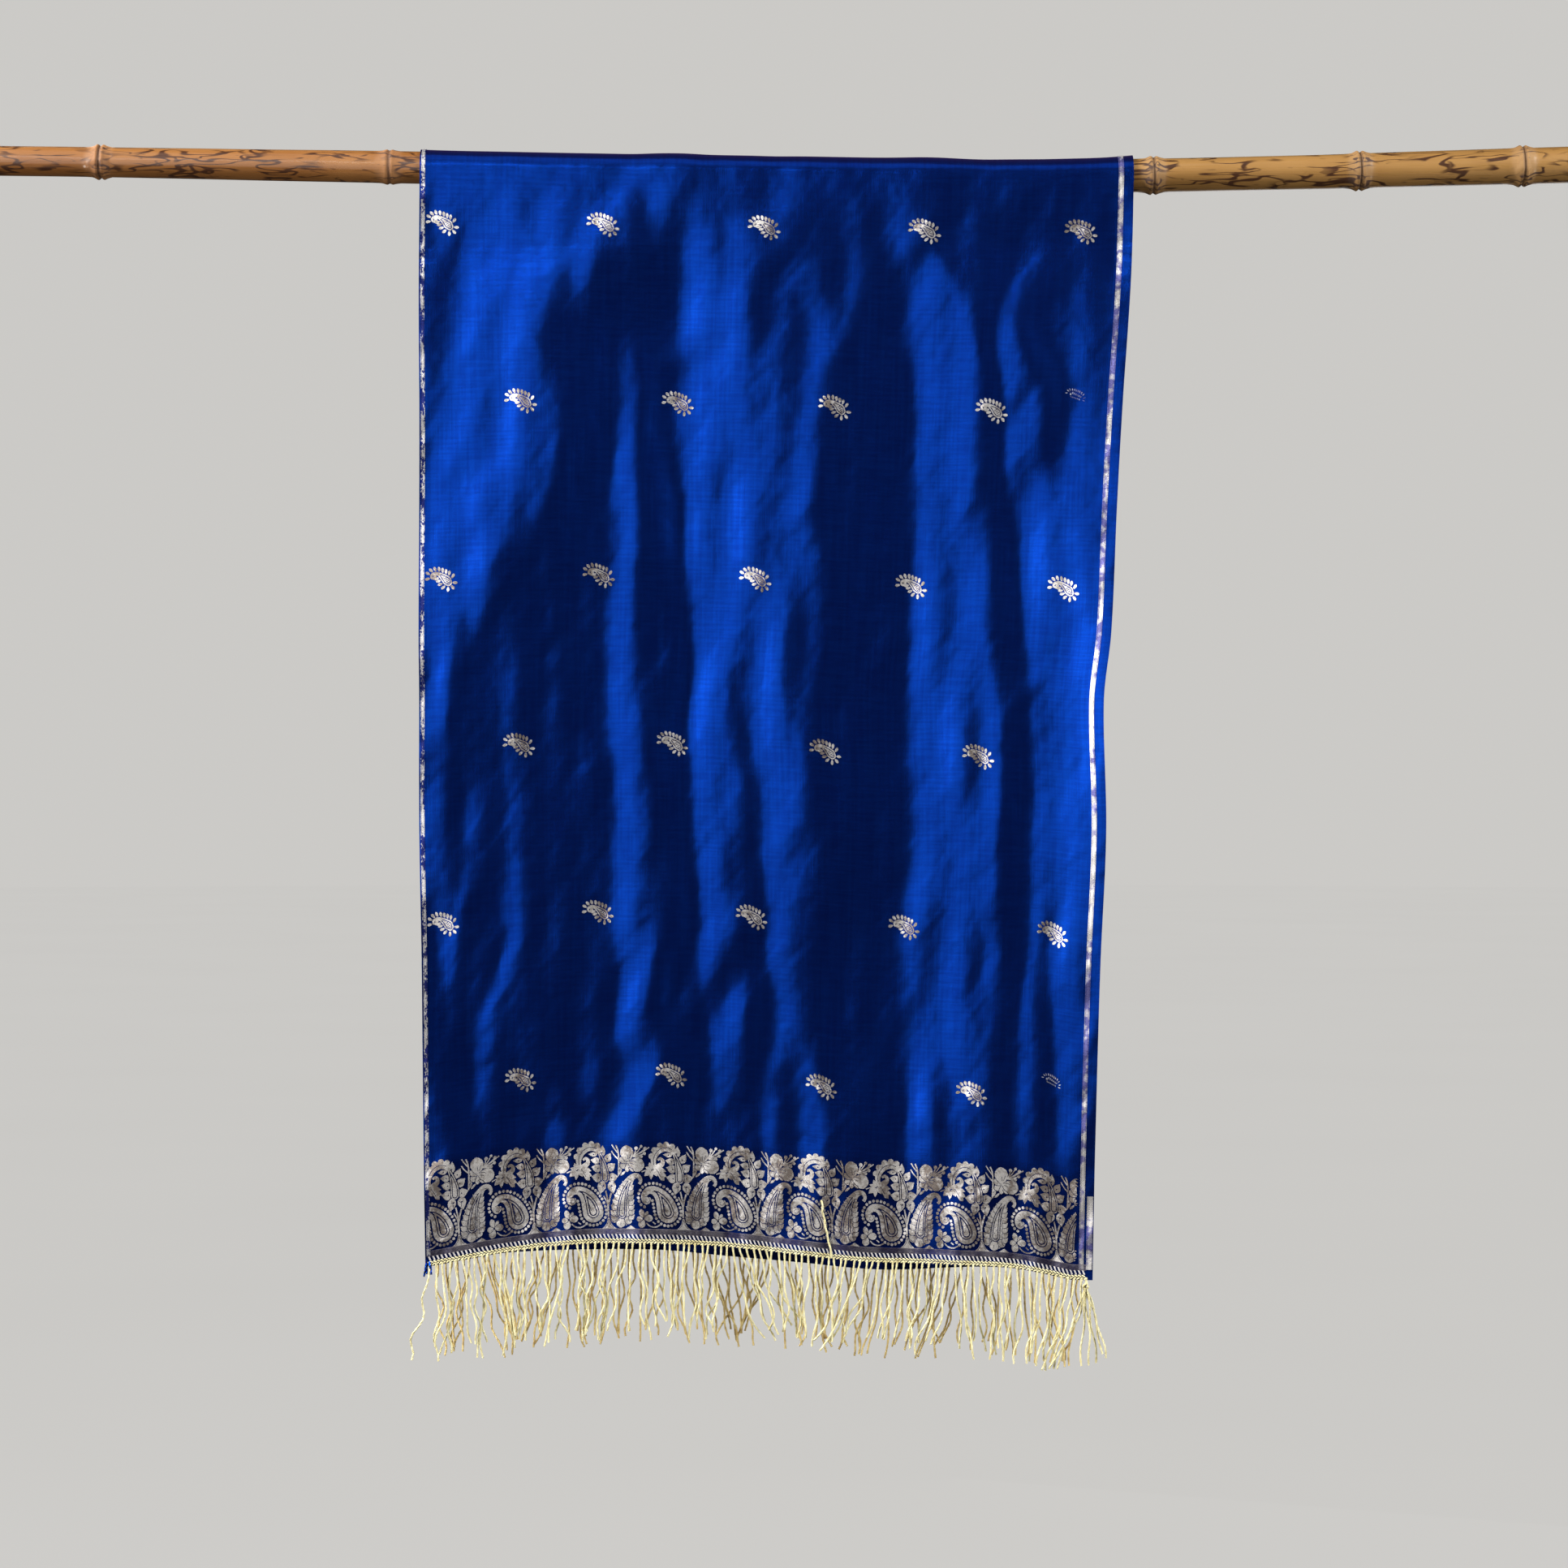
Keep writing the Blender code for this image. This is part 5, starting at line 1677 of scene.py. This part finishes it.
@dataclass
class WovenZari:
    """Everything that silver zari draws on the cloth (sizes and places in mm)."""

    surface: HangingCloth
    layer: FlatLayer
    finish: Material
    # worn: lavender zari with painted white glints; spotted: spots that are partly painted glints
    # and shade.
    worn: Material
    spotted: Material
    dashed: Material
    dark: Material
    base_line: float = 11.8
    repeat_shift: float = -0.7
    border_trim: Pair = (-275.6, 264.8)
    line_trim: Pair = (-277.2, 273.5)
    line_tile: float = 6.8
    line_count: int = 7
    line_foot: float = 7.5
    line_pitch: float = 0.62
    line_widths: Pair = (0.28, 0.6)
    dash: Outline = ((1.6, 4.2), (3.05, 4.2), (1.45, 7.5), (0.0, 7.5))
    faint_places: Outline = ((242.5, 194.0), (242.5, 722.0))
    stripe_tile: float = 4.0
    stripe_edges: Pair = (0.6, 0.45)
    stripe_gap: float = 0.25
    hem_gap: float = 4.0

    def build(self) -> list[Object]:
        """Lays every pattern and hands the pieces over."""
        made = []
        for side in Side:
            made.append(self.layer.lay(f"zari_buttis_{side.label}", Butti().draw(),
                                       self._butti_places(side), self.finish))
            made.append(self._border(side))
            made += self._lines(side)
        faint = [(across * MM, travel * MM) for across, travel in self.faint_places]
        # The faint buttis take the worn zari, whose white blotches are painted glints.
        made.append(self.layer.lay("zari_faint_buttis", GhostButti().draw(), faint, self.worn))
        made += self._selvedges()
        for piece in made:
            hand_over(piece, "silver_zari")
        return made

    def _butti_places(self, side: Side) -> list[Pair]:
        """Flat places of one side's buttis, rows alternating by half a repeat."""
        return [(across * MM, travel * MM) for number, travel in enumerate(BUTTI_ROWS)
                if (travel > 0) == (side is Side.FRONT) for across in BUTTI_COLUMNS[number % 2]]

    def _along_hem(self, side: Side, name: str, art: Mesh, pitch: float, start: float, count: int,
                   up: float, finish: Material, trim: Pair) -> Object:
        """Lays a row of copies along one hem, from a start across and a height above it (mm)."""
        travel = -side.value * (self.surface.hem_travel(side) - up * MM)
        places = [((start + k * pitch) * MM, travel) for k in range(count)]
        return self.layer.lay(f"{name}_{side.label}", art, places, finish,
                              turn=0.0 if side is Side.FRONT else math.pi,
                              trim=(trim[0] * MM, trim[1] * MM))

    def _border(self, side: Side) -> Object:
        """Row of border repeats along one hem."""
        repeat = BorderRepeat()
        start = self.repeat_shift - 5 * repeat.pitch
        return self._along_hem(side, "zari_border", repeat.draw(), repeat.pitch, start, 11,
                               self.base_line, self.finish, self.border_trim)

    def _lines(self, side: Side) -> list[Object]:
        """Thin lines and slanted dashes between the border and the heading cord."""
        tile, (left, right) = self.line_tile, self.line_trim
        lines, dashes = Drawing("border_lines", grain=50), Drawing("border_dashes", grain=50)
        for k in range(self.line_count):
            low = self.line_foot + self.line_pitch * k
            high = low + self.line_widths[k == self.line_count - 1]
            lines.patch([(0, low), (tile, low), (tile, high), (0, high)])
        for k in range(2):
            dashes.patch([(x + tile / 2 * k, y) for x, y in self.dash])
        count = math.ceil((right - left) / tile) + 1
        return [self._along_hem(side, name, art.mesh(), tile, left, count, 0.0, finish,
                                self.line_trim)
                for name, art, finish in (("zari_lines", lines, self.dark),
                                          ("zari_dashes", dashes, self.dashed))]

    def _selvedges(self) -> list[Object]:
        """Narrow zari stripes inside both selvedges, one of them wider near the front hem."""
        made = []
        tile, gap, (outer, inner) = self.stripe_tile, self.stripe_gap, self.stripe_edges
        front, back = (self.surface.hem_travel(side) / MM - self.hem_gap for side in Side)
        # The right and foot stripes take the worn zari with painted white glints; the left takes
        # the spotted zari, partly painted glints and shade.
        for name, centre, width, finish, reach in (
            ("right", 269.7, 4.0, self.worn, front + back),
            ("left", -276.6, 3.0, self.spotted, front + back),
            ("foot", 276.2, 5.0, self.worn, 58.0),
        ):
            half = width / 2
            art = Drawing(f"selvedge_{name}", grain=50)
            for low, high in ((-half, outer - half), (outer + gap - half, half - inner - gap),
                              (half - inner, half)):
                art.patch([(low, 0), (high, 0), (high, tile), (low, tile)])
            count = int(reach / tile)
            places = [(centre * MM, (front - tile * (k + 1)) * MM) for k in range(count)]
            made.append(self.layer.lay(f"zari_selvedge_{name}", art.mesh(), places, finish))
        return made


# ---- Heading cord and fringe -------------------------------------------------

@dataclass
class HeadingCord:
    """Two rows of slanted chain stitches that bind the hem and hold the fringe (mm)."""

    layer: FlatLayer
    finish: Material
    surface: HangingCloth
    pitch: float = 3.0
    stitch: Triple = (3.8, 1.3, 1.3)
    rows: tuple[Pair, ...] = ((3.0, 28.0), (1.1, -28.0))
    half_width: float = 277.2
    around: int = 6
    along: int = 4

    def draw(self, lean: float) -> Mesh:
        """One stitch: a plump spindle that leans one way."""
        around, along = self.around, self.along
        points, faces = [(-1.0, 0.0, 0.0)], []
        for ring in range(1, along + 1):
            t = math.pi * ring / (along + 1)
            points += [(-math.cos(t), math.sin(t) * math.cos(2 * math.pi * k / around),
                        math.sin(t) * math.sin(2 * math.pi * k / around)) for k in range(around)]
        points.append((1.0, 0.0, 0.0))
        last = len(points) - 1
        for k in range(around):
            n = (k + 1) % around
            faces += [(0, 1 + n, 1 + k), (last, last - around + k, last - around + n)]
            for ring in range(along - 1):
                a = 1 + ring * around
                faces += [(a + k, a + n, a + around + n), (a + k, a + around + n, a + around + k)]
        size = np.array(self.stitch) * MM / 2
        shape = np.array(points) * size
        c, s = aim_of(lean)
        shape[:, :2] = shape[:, :2] @ np.array([[c, s], [-s, c]])
        shape[:, 2] += size[2] * 0.5
        return new_mesh("chain_stitch", shape, faces)

    def build(self, side: Side) -> Object:
        """Lays both rows on one hem and hands the cord over."""
        laid = []
        count = int(2 * self.half_width / self.pitch)
        for number, (inset, lean) in enumerate(self.rows):
            travel = -side.value * (self.surface.hem_travel(side) - inset * MM)
            start = -self.half_width + self.pitch * 0.5 * number
            places = [((start + self.pitch * k) * MM, travel) for k in range(count)]
            laid.append(self.layer.lay(f"heading_row_{number}", self.draw(lean), places,
                                       self.finish, lift=0.0001, smooth=180))
        cord = join(f"heading_cord_{side.label}", laid)
        hand_over(cord, "gold_thread")
        return cord


def join(name: str, pieces: Sequence[Object]) -> Object:
    """Joins plain mesh objects into one."""
    with bpy.context.temp_override(active_object=pieces[0], selected_editable_objects=list(pieces)):
        bpy.ops.object.join()
    pieces[0].name = name
    pieces[0].data.name = name
    return pieces[0]


# One hanging thread: its places in space, in metres.
Path = Sequence[Sequence[float]]


class TwistedThread:
    """Turns bare paths into two-ply thread."""

    def __init__(self, across: float = 0.0019, pitch: float = 0.0100, step: float = 0.0018) -> None:
        """Builds the node tree and the ply's outline.

        Args:
            across: Width over both plies.
            pitch: Length of one full turn of the ply.
            step: Length of a segment.
        """
        turns = [2 * math.pi * k / 8 for k in range(8)]
        reaches = [across / 2 * (0.72 + 0.28 * abs(math.cos(turn))) for turn in turns]
        outline = self._curve("ply_outline", [[(r * math.cos(t), r * math.sin(t), 0.0)
                                               for r, t in zip(reaches, turns)]])
        outline.splines[0].use_cyclic_u = True
        self.outline = new_object("ply_outline", outline)
        takes = {"Paths": "Geometry", "Outline": "Object", "Segment": "Float", "Ply Turn": "Float",
                 "Finish": "Material"}
        bench, get, give = open_group("two_ply_thread", "GeometryNodeTree", takes,
                                      {"Threads": "Geometry"})
        even = bench.add("GeometryNodeResampleCurve",
                         {"Curve": get["Paths"], "Length": get["Segment"]}, mode="LENGTH")
        run = bench.add("GeometryNodeSplineParameter").outputs["Length"]
        turn = bench.times(bench.sum("DIVIDE", run, get["Ply Turn"]), 2 * math.pi)
        tilted = bench.add("GeometryNodeSetCurveTilt", {"Curve": even.outputs[0], "Tilt": turn})
        ply = bench.add("GeometryNodeObjectInfo", {"Object": get["Outline"]}).outputs["Geometry"]
        body = bench.add("GeometryNodeCurveToMesh",
                         {"Curve": tilted.outputs[0], "Profile Curve": ply, "Fill Caps": True})
        finish_group(bench, body.outputs[0], get["Finish"], give["Threads"])
        self.tree = bench.tree
        self.values = {"Outline": self.outline, "Segment": step, "Ply Turn": pitch}

    @staticmethod
    def _curve(name: str, paths: Iterable[Path]) -> bpy.types.Curve:
        """Makes a curve with one straight-cornered run for every path."""
        curve = bpy.data.curves.new(name, "CURVE")
        curve.dimensions = "3D"
        for path in paths:
            spline = curve.splines.new("POLY")
            spline.points.add(len(path) - 1)
            for point, place in zip(spline.points, path):
                point.co = (*place, 1.0)
        return curve

    def spin(self, name: str, paths: Iterable[Path], finish: Material) -> Object:
        """Makes all threads as one plain mesh object."""
        carrier = new_object(f"{name}_paths", self._curve(name, paths))
        made = bake_tree(carrier, self.tree, {**self.values, "Finish": finish}, name)
        made.data.shade_smooth()
        return made


@dataclass
class Fringe:
    """Loose threads that hang from one hem."""

    surface: HangingCloth
    side: Side
    count: int = 105
    shortest: float = 0.063
    longest: float = 0.080
    knots: int = 15
    margin: float = 0.0025
    inset: float = 0.0015
    bunch: tuple[int, int] = (2, 6)
    lean: Pair = (-0.055, -0.06)
    bunch_spread: float = 0.12
    own_spread: float = 0.075
    deep_spread: float = 0.028
    late_spread: float = 0.0034
    lift: float = 0.00105
    waves: tuple[int, Pair, Pair] = (3, (0.0004, 0.0017), (70, 230))
    sways: tuple[int, Pair, Pair] = (2, (0.0002, 0.0008), (90, 240))
    lengths: tuple[Pair, ...] = (
        (-280, 1.02), (-190, 1.03), (-60, 0.94), (40, 0.90), (150, 0.93), (250, 0.96),
    )

    def roots(self, shares: Array) -> tuple[Array, Array]:
        """Places on the hem and the outward way there."""
        half, parts = self.surface.half_width, 560
        travel = -self.side.value * (self.surface.hem_travel(self.side) - self.inset)
        near = np.array([travel - 0.002, travel, travel + 0.002])
        points, normals = self.surface.grid(np.linspace(-half, half, parts + 1), near)
        at = shares * parts
        low = np.clip(at.astype(int), 0, parts - 1)
        mix = (at - low)[:, None]
        return tuple(grid[1, low] * (1 - mix) + grid[1, low + 1] * mix
                     for grid in (points, normals))

    def threads(self) -> list[Path]:
        """Paths of the hanging threads, leaning together in small loose bunches."""
        rng = random.Random(41 if self.side is Side.FRONT else 67)

        def draw(count: int, rise: Pair, rate: Pair) -> list[Triple]:
            """Random waves: how far each strays, how often and where it starts."""
            return [(rng.uniform(*rise), rng.uniform(*rate), rng.uniform(0, 6.28))
                    for _ in range(count)]

        shares = np.array([(i + 0.5 + rng.uniform(-0.2, 0.2)) / self.count
                           for i in range(self.count)])
        shares = self.margin + shares * (1 - 2 * self.margin)
        made, left, drift = [], 0, 0.0
        for start, out in zip(*self.roots(shares)):
            if left == 0:
                left = rng.randint(*self.bunch)
                drift = rng.gauss(self.lean[0] + self.lean[1] * start[0] / 0.28, self.bunch_spread)
            left -= 1
            factor = smooth_between(*zip(*self.lengths), start[0] / MM)
            reach = rng.uniform(self.shortest, self.longest) * float(factor)
            own, deep = drift + rng.gauss(0, self.own_spread), rng.gauss(0, self.deep_spread)
            waves, sways = draw(*self.waves), draw(*self.sways)
            late = rng.gauss(0, self.late_spread)
            places = []
            for t in (k / (self.knots - 1) for k in range(self.knots)):
                down, loose = reach * t, min(1.0, t * 2.5)
                side = own * down * (0.5 + 0.5 * t) + late * t * t * math.sin(3.1 * t)
                side += loose * sum(a * (math.sin(f * down + p) - math.sin(p)) for a, f, p in waves)
                back = deep * down + loose * sum(a * math.sin(f * down + p) for a, f, p in sways)
                lift = self.lift * (1 - 0.6 * t)
                places.append((start[0] + out[0] * lift + side, start[1] + out[1] * lift + back,
                               start[2] - down))
            made.append(places)
        return made


@dataclass
class StrayThreads:
    """Threads that have worked loose: one over the border, a knot at a corner and frayed ends."""

    surface: HangingCloth
    stray: Spine = (
        (52, 45, 0.6), (53.5, 41, 1.8), (53.0, 36, 1.4), (55.0, 31, 0.8), (55.4, 25, 1.6),
        (57.4, 19, 1.2), (58.2, 13, 1.0), (60.2, 8, 1.4), (60.6, 3, 1.2), (61.0, 0.6, 1.0),
    )
    knotted: Triple = (273.5, 1.0, 1.2)
    frayed: Triple = (-278.4, 1.5, 0.4)
    kicks: tuple[float, ...] = (0.0115, 0.0075, 0.0140, 0.0030, -0.003)

    def on_cloth(self, across: float, up: float, lift: float) -> Vector:
        """A place across and above the front hem, lifted off the cloth (all mm)."""
        travel = self.surface.hem_travel(Side.FRONT) - up * MM
        points, normals = self.surface.grid(np.array([across - 1, across, across + 1]) * MM,
                                            np.array([travel - 0.002, travel, travel + 0.002]))
        return Vector(points[1, 1] + normals[1, 1] * lift * MM)

    def gold(self) -> list[Path]:
        """The stray thread over the border and the knotted corner."""
        corner = self.on_cloth(*self.knotted)
        knot = [corner + Vector((0.0022 * math.cos(k * 1.3), -0.0014 + 0.0012 * math.sin(k * 2.1),
                                 -0.006 + 0.0024 * math.sin(k * 1.3))) for k in range(12)]
        paths = [[self.on_cloth(*place) for place in self.stray], [corner, *knot]]
        rng = random.Random(3)
        for kick in self.kicks:
            reach = rng.uniform(0.045, 0.070)
            paths.append([corner + Vector((
                kick * t * (1.6 - 0.5 * t) + 0.0011 * math.sin(9 * t + kick * 900),
                -0.0014 + 0.002 * math.sin(5 * t + kick * 500), -0.007 - reach * t,
            )) for t in np.linspace(0, 1, 13)])
        return paths

    def blue(self) -> list[Path]:
        """Frayed blue ends at the lower left corner."""
        rng = random.Random(8)
        corner = self.on_cloth(*self.frayed)
        paths = []
        for _ in range(7):
            aim, reach = rng.uniform(-0.6, 0.9), rng.uniform(0.004, 0.010)
            start = corner + Vector([rng.uniform(-0.001, high) for high in (0.0035, 0.0012, 0.004)])
            paths.append([start + Vector((
                reach * aim * t * 0.7, 0.0012 * math.sin(4 * t + aim * 7),
                -reach * t * (1.1 - 0.2 * t),
            )) for t in np.linspace(0, 1, 7)])
        return paths


# ---- Floor, light and camera -------------------------------------------------

class Softbox(NamedTuple):
    """A rectangular soft light: place, what it faces, size, power, colour and roll in degrees."""

    name: str
    place: Triple
    aim: Triple
    size: Pair
    power: float
    colour: Triple = (1.0, 0.98, 0.96)
    roll: float = 0.0


@dataclass
class Studio:
    """Pale floor, soft lights and the camera."""

    lens: float = 85.0
    stand: Triple = (0.0057, -2.911, -0.4794)
    floor_depth: float = -1.65
    floor_reach: float = 40.0
    air: float = 0.025
    softboxes: tuple[Softbox, ...] = (
        Softbox("key", (-1.22, -2.72, -0.10), (0.0, 0.0, -0.10), (1.95, 1.90), 11.5, roll=-16.5),
        Softbox("key_core", (-1.62, -2.40, -0.15), (0.1, 0.0, -0.30), (0.70, 1.50), 4.8,
                (1.0, 0.98, 0.97), -10.0),
        Softbox("upper", (-1.10, -2.05, 1.45), (0.0, 0.0, 0.0), (1.8, 1.1), 4.4),
        Softbox("strip", (-1.15, -2.30, 0.98), (-0.3, 0.0, 0.0), (2.0, 0.12), 5.0),
        Softbox("overhead", (-0.40, -0.95, 2.00), (0.0, -0.05, 0.0), (2.0, 1.3), 4.0,
                (0.96, 0.98, 1.0)),
        Softbox("rear", (1.25, 2.90, -0.40), (0.0, 0.0, -0.45), (2.1, 2.7), 17.0),
        Softbox("left_fill", (-2.6, -1.1, 1.5), (0.0, 0.0, -0.40), (1.3, 1.3), 270.0,
                (1.0, 0.97, 0.93)),
        Softbox("right_fill", (2.5, -1.4, 1.3), (0.0, 0.0, -0.40), (1.3, 1.3), 150.0,
                (0.97, 0.98, 1.0)),
        Softbox("low_left", (-2.1, -1.3, -1.45), (0.0, 0.0, -0.85), (0.9, 0.5), 24.0,
                (1.0, 0.97, 0.90)),
        Softbox("low_right", (2.2, -1.2, -1.45), (0.0, 0.0, -0.85), (0.9, 0.5), 24.0,
                (1.0, 0.97, 0.90)),
        Softbox("rear_fill", (-2.0, 2.2, 1.3), (0.0, 0.0, -0.40), (1.3, 1.3), 80.0),
    )

    def build(self, floor: Material) -> None:
        """Sets up the floor, world, lights and camera."""
        self._floor(floor)
        self._world()
        for box in self.softboxes:
            self._light(box)
        camera = new_object("camera", bpy.data.cameras.new("camera"))
        camera.data.lens, camera.data.sensor_width = self.lens, 36.0
        camera.location = self.stand
        camera.rotation_euler = (math.pi / 2, 0.0, 0.0)
        bpy.context.scene.camera = camera
        bpy.context.scene.view_settings.view_transform = "Standard"

    def _floor(self, material: Material) -> None:
        """Round pale floor far below the stole."""
        turn = np.linspace(0, 2 * math.pi, 96, endpoint=False)
        rim = np.stack([self.floor_reach * np.cos(turn), self.floor_reach * np.sin(turn),
                        np.full_like(turn, self.floor_depth)], axis=1)
        mesh = new_mesh("floor", rim, [range(len(turn))])
        mesh.materials.append(material)
        floor = new_object("floor", mesh)
        floor.visible_glossy = floor.visible_diffuse = floor.visible_shadow = False

    def _world(self) -> None:
        """Pale air for the camera, nearly dark air for everything that the cloth mirrors."""
        world = bpy.data.worlds.new("studio_air")
        bpy.context.scene.world = world
        world.use_nodes = True
        world.node_tree.nodes.clear()
        bench = Bench(world.node_tree)
        looks = (((1.0, 0.98, 0.95), self.air), (PALE, 1.0))
        dim, pale = (bench.add("ShaderNodeBackground", {"Color": rgba(colour), "Strength": glow})
                     for colour, glow in looks)
        seen = bench.add("ShaderNodeLightPath").outputs["Is Camera Ray"]
        both = bench.add("ShaderNodeMixShader", {0: seen, 1: dim.outputs[0], 2: pale.outputs[0]})
        bench.add("ShaderNodeOutputWorld", {"Surface": both.outputs[0]})

    def _light(self, box: Softbox) -> None:
        """Hangs one softbox."""
        lamp = bpy.data.lights.new(box.name, "AREA")
        lamp.shape = "RECTANGLE"
        lamp.size, lamp.size_y = box.size
        lamp.energy, lamp.color = box.power, box.colour
        light = new_object(box.name, lamp)
        light.location = box.place
        aim = (Vector(box.aim) - Vector(box.place)).to_track_quat("-Z", "Y")
        light.rotation_euler = (aim @ Quaternion((0, 0, 1), math.radians(box.roll))).to_euler()
        light.visible_camera = False


# ---- Putting it together -----------------------------------------------------


def main() -> None:
    """Builds every piece and the studio."""
    logging.basicConfig(level=logging.INFO, format="%(name)s: %(message)s")
    effects = SharedEffects()
    silk, silver, gold, bamboo = (finish.build(effects) for finish in (
        SilkSatin(), SilverZari(), GoldThread(), ScorchedBamboo()))
    # Painted shade: the back fringe's threads take darker lit and shaded golds than the front's.
    shaded_gold = GoldThread("deep_gold_thread", (0.74, 0.60, 0.26), (0.42, 0.28, 0.09))
    shaded_gold = shaded_gold.build(effects)
    rod = BambooRod()
    rod.build(bamboo)
    surface = HangingCloth(rod)
    cloth = StoleCloth(surface)
    shells, guide = cloth.build(silk)
    layer = FlatLayer(guide)
    zari_variants = (finish.build(effects) for finish in ZARI_VARIANTS)
    zari = WovenZari(surface, layer, silver, *zari_variants).build()
    twist = TwistedThread()
    for side in Side:
        cord = HeadingCord(layer, gold, surface).build(side)
        hanging = twist.spin(f"fringe_threads_{side.label}", Fringe(surface, side).threads(),
                             gold if side is Side.FRONT else shaded_gold)
        hand_over(hanging, "gold_thread", f"fringe_{side.label}")
    hand_over(twist.spin("stray_threads", StrayThreads(surface).gold(), gold), "gold_thread")
    hand_over(twist.spin("frayed_corner", StrayThreads(surface).blue(), silk), "blue_silk")
    for helper in (guide, twist.outline):
        bpy.data.objects.remove(helper)
    Studio().build(PaleFloor().build())


if __name__ == "__main__":
    main()
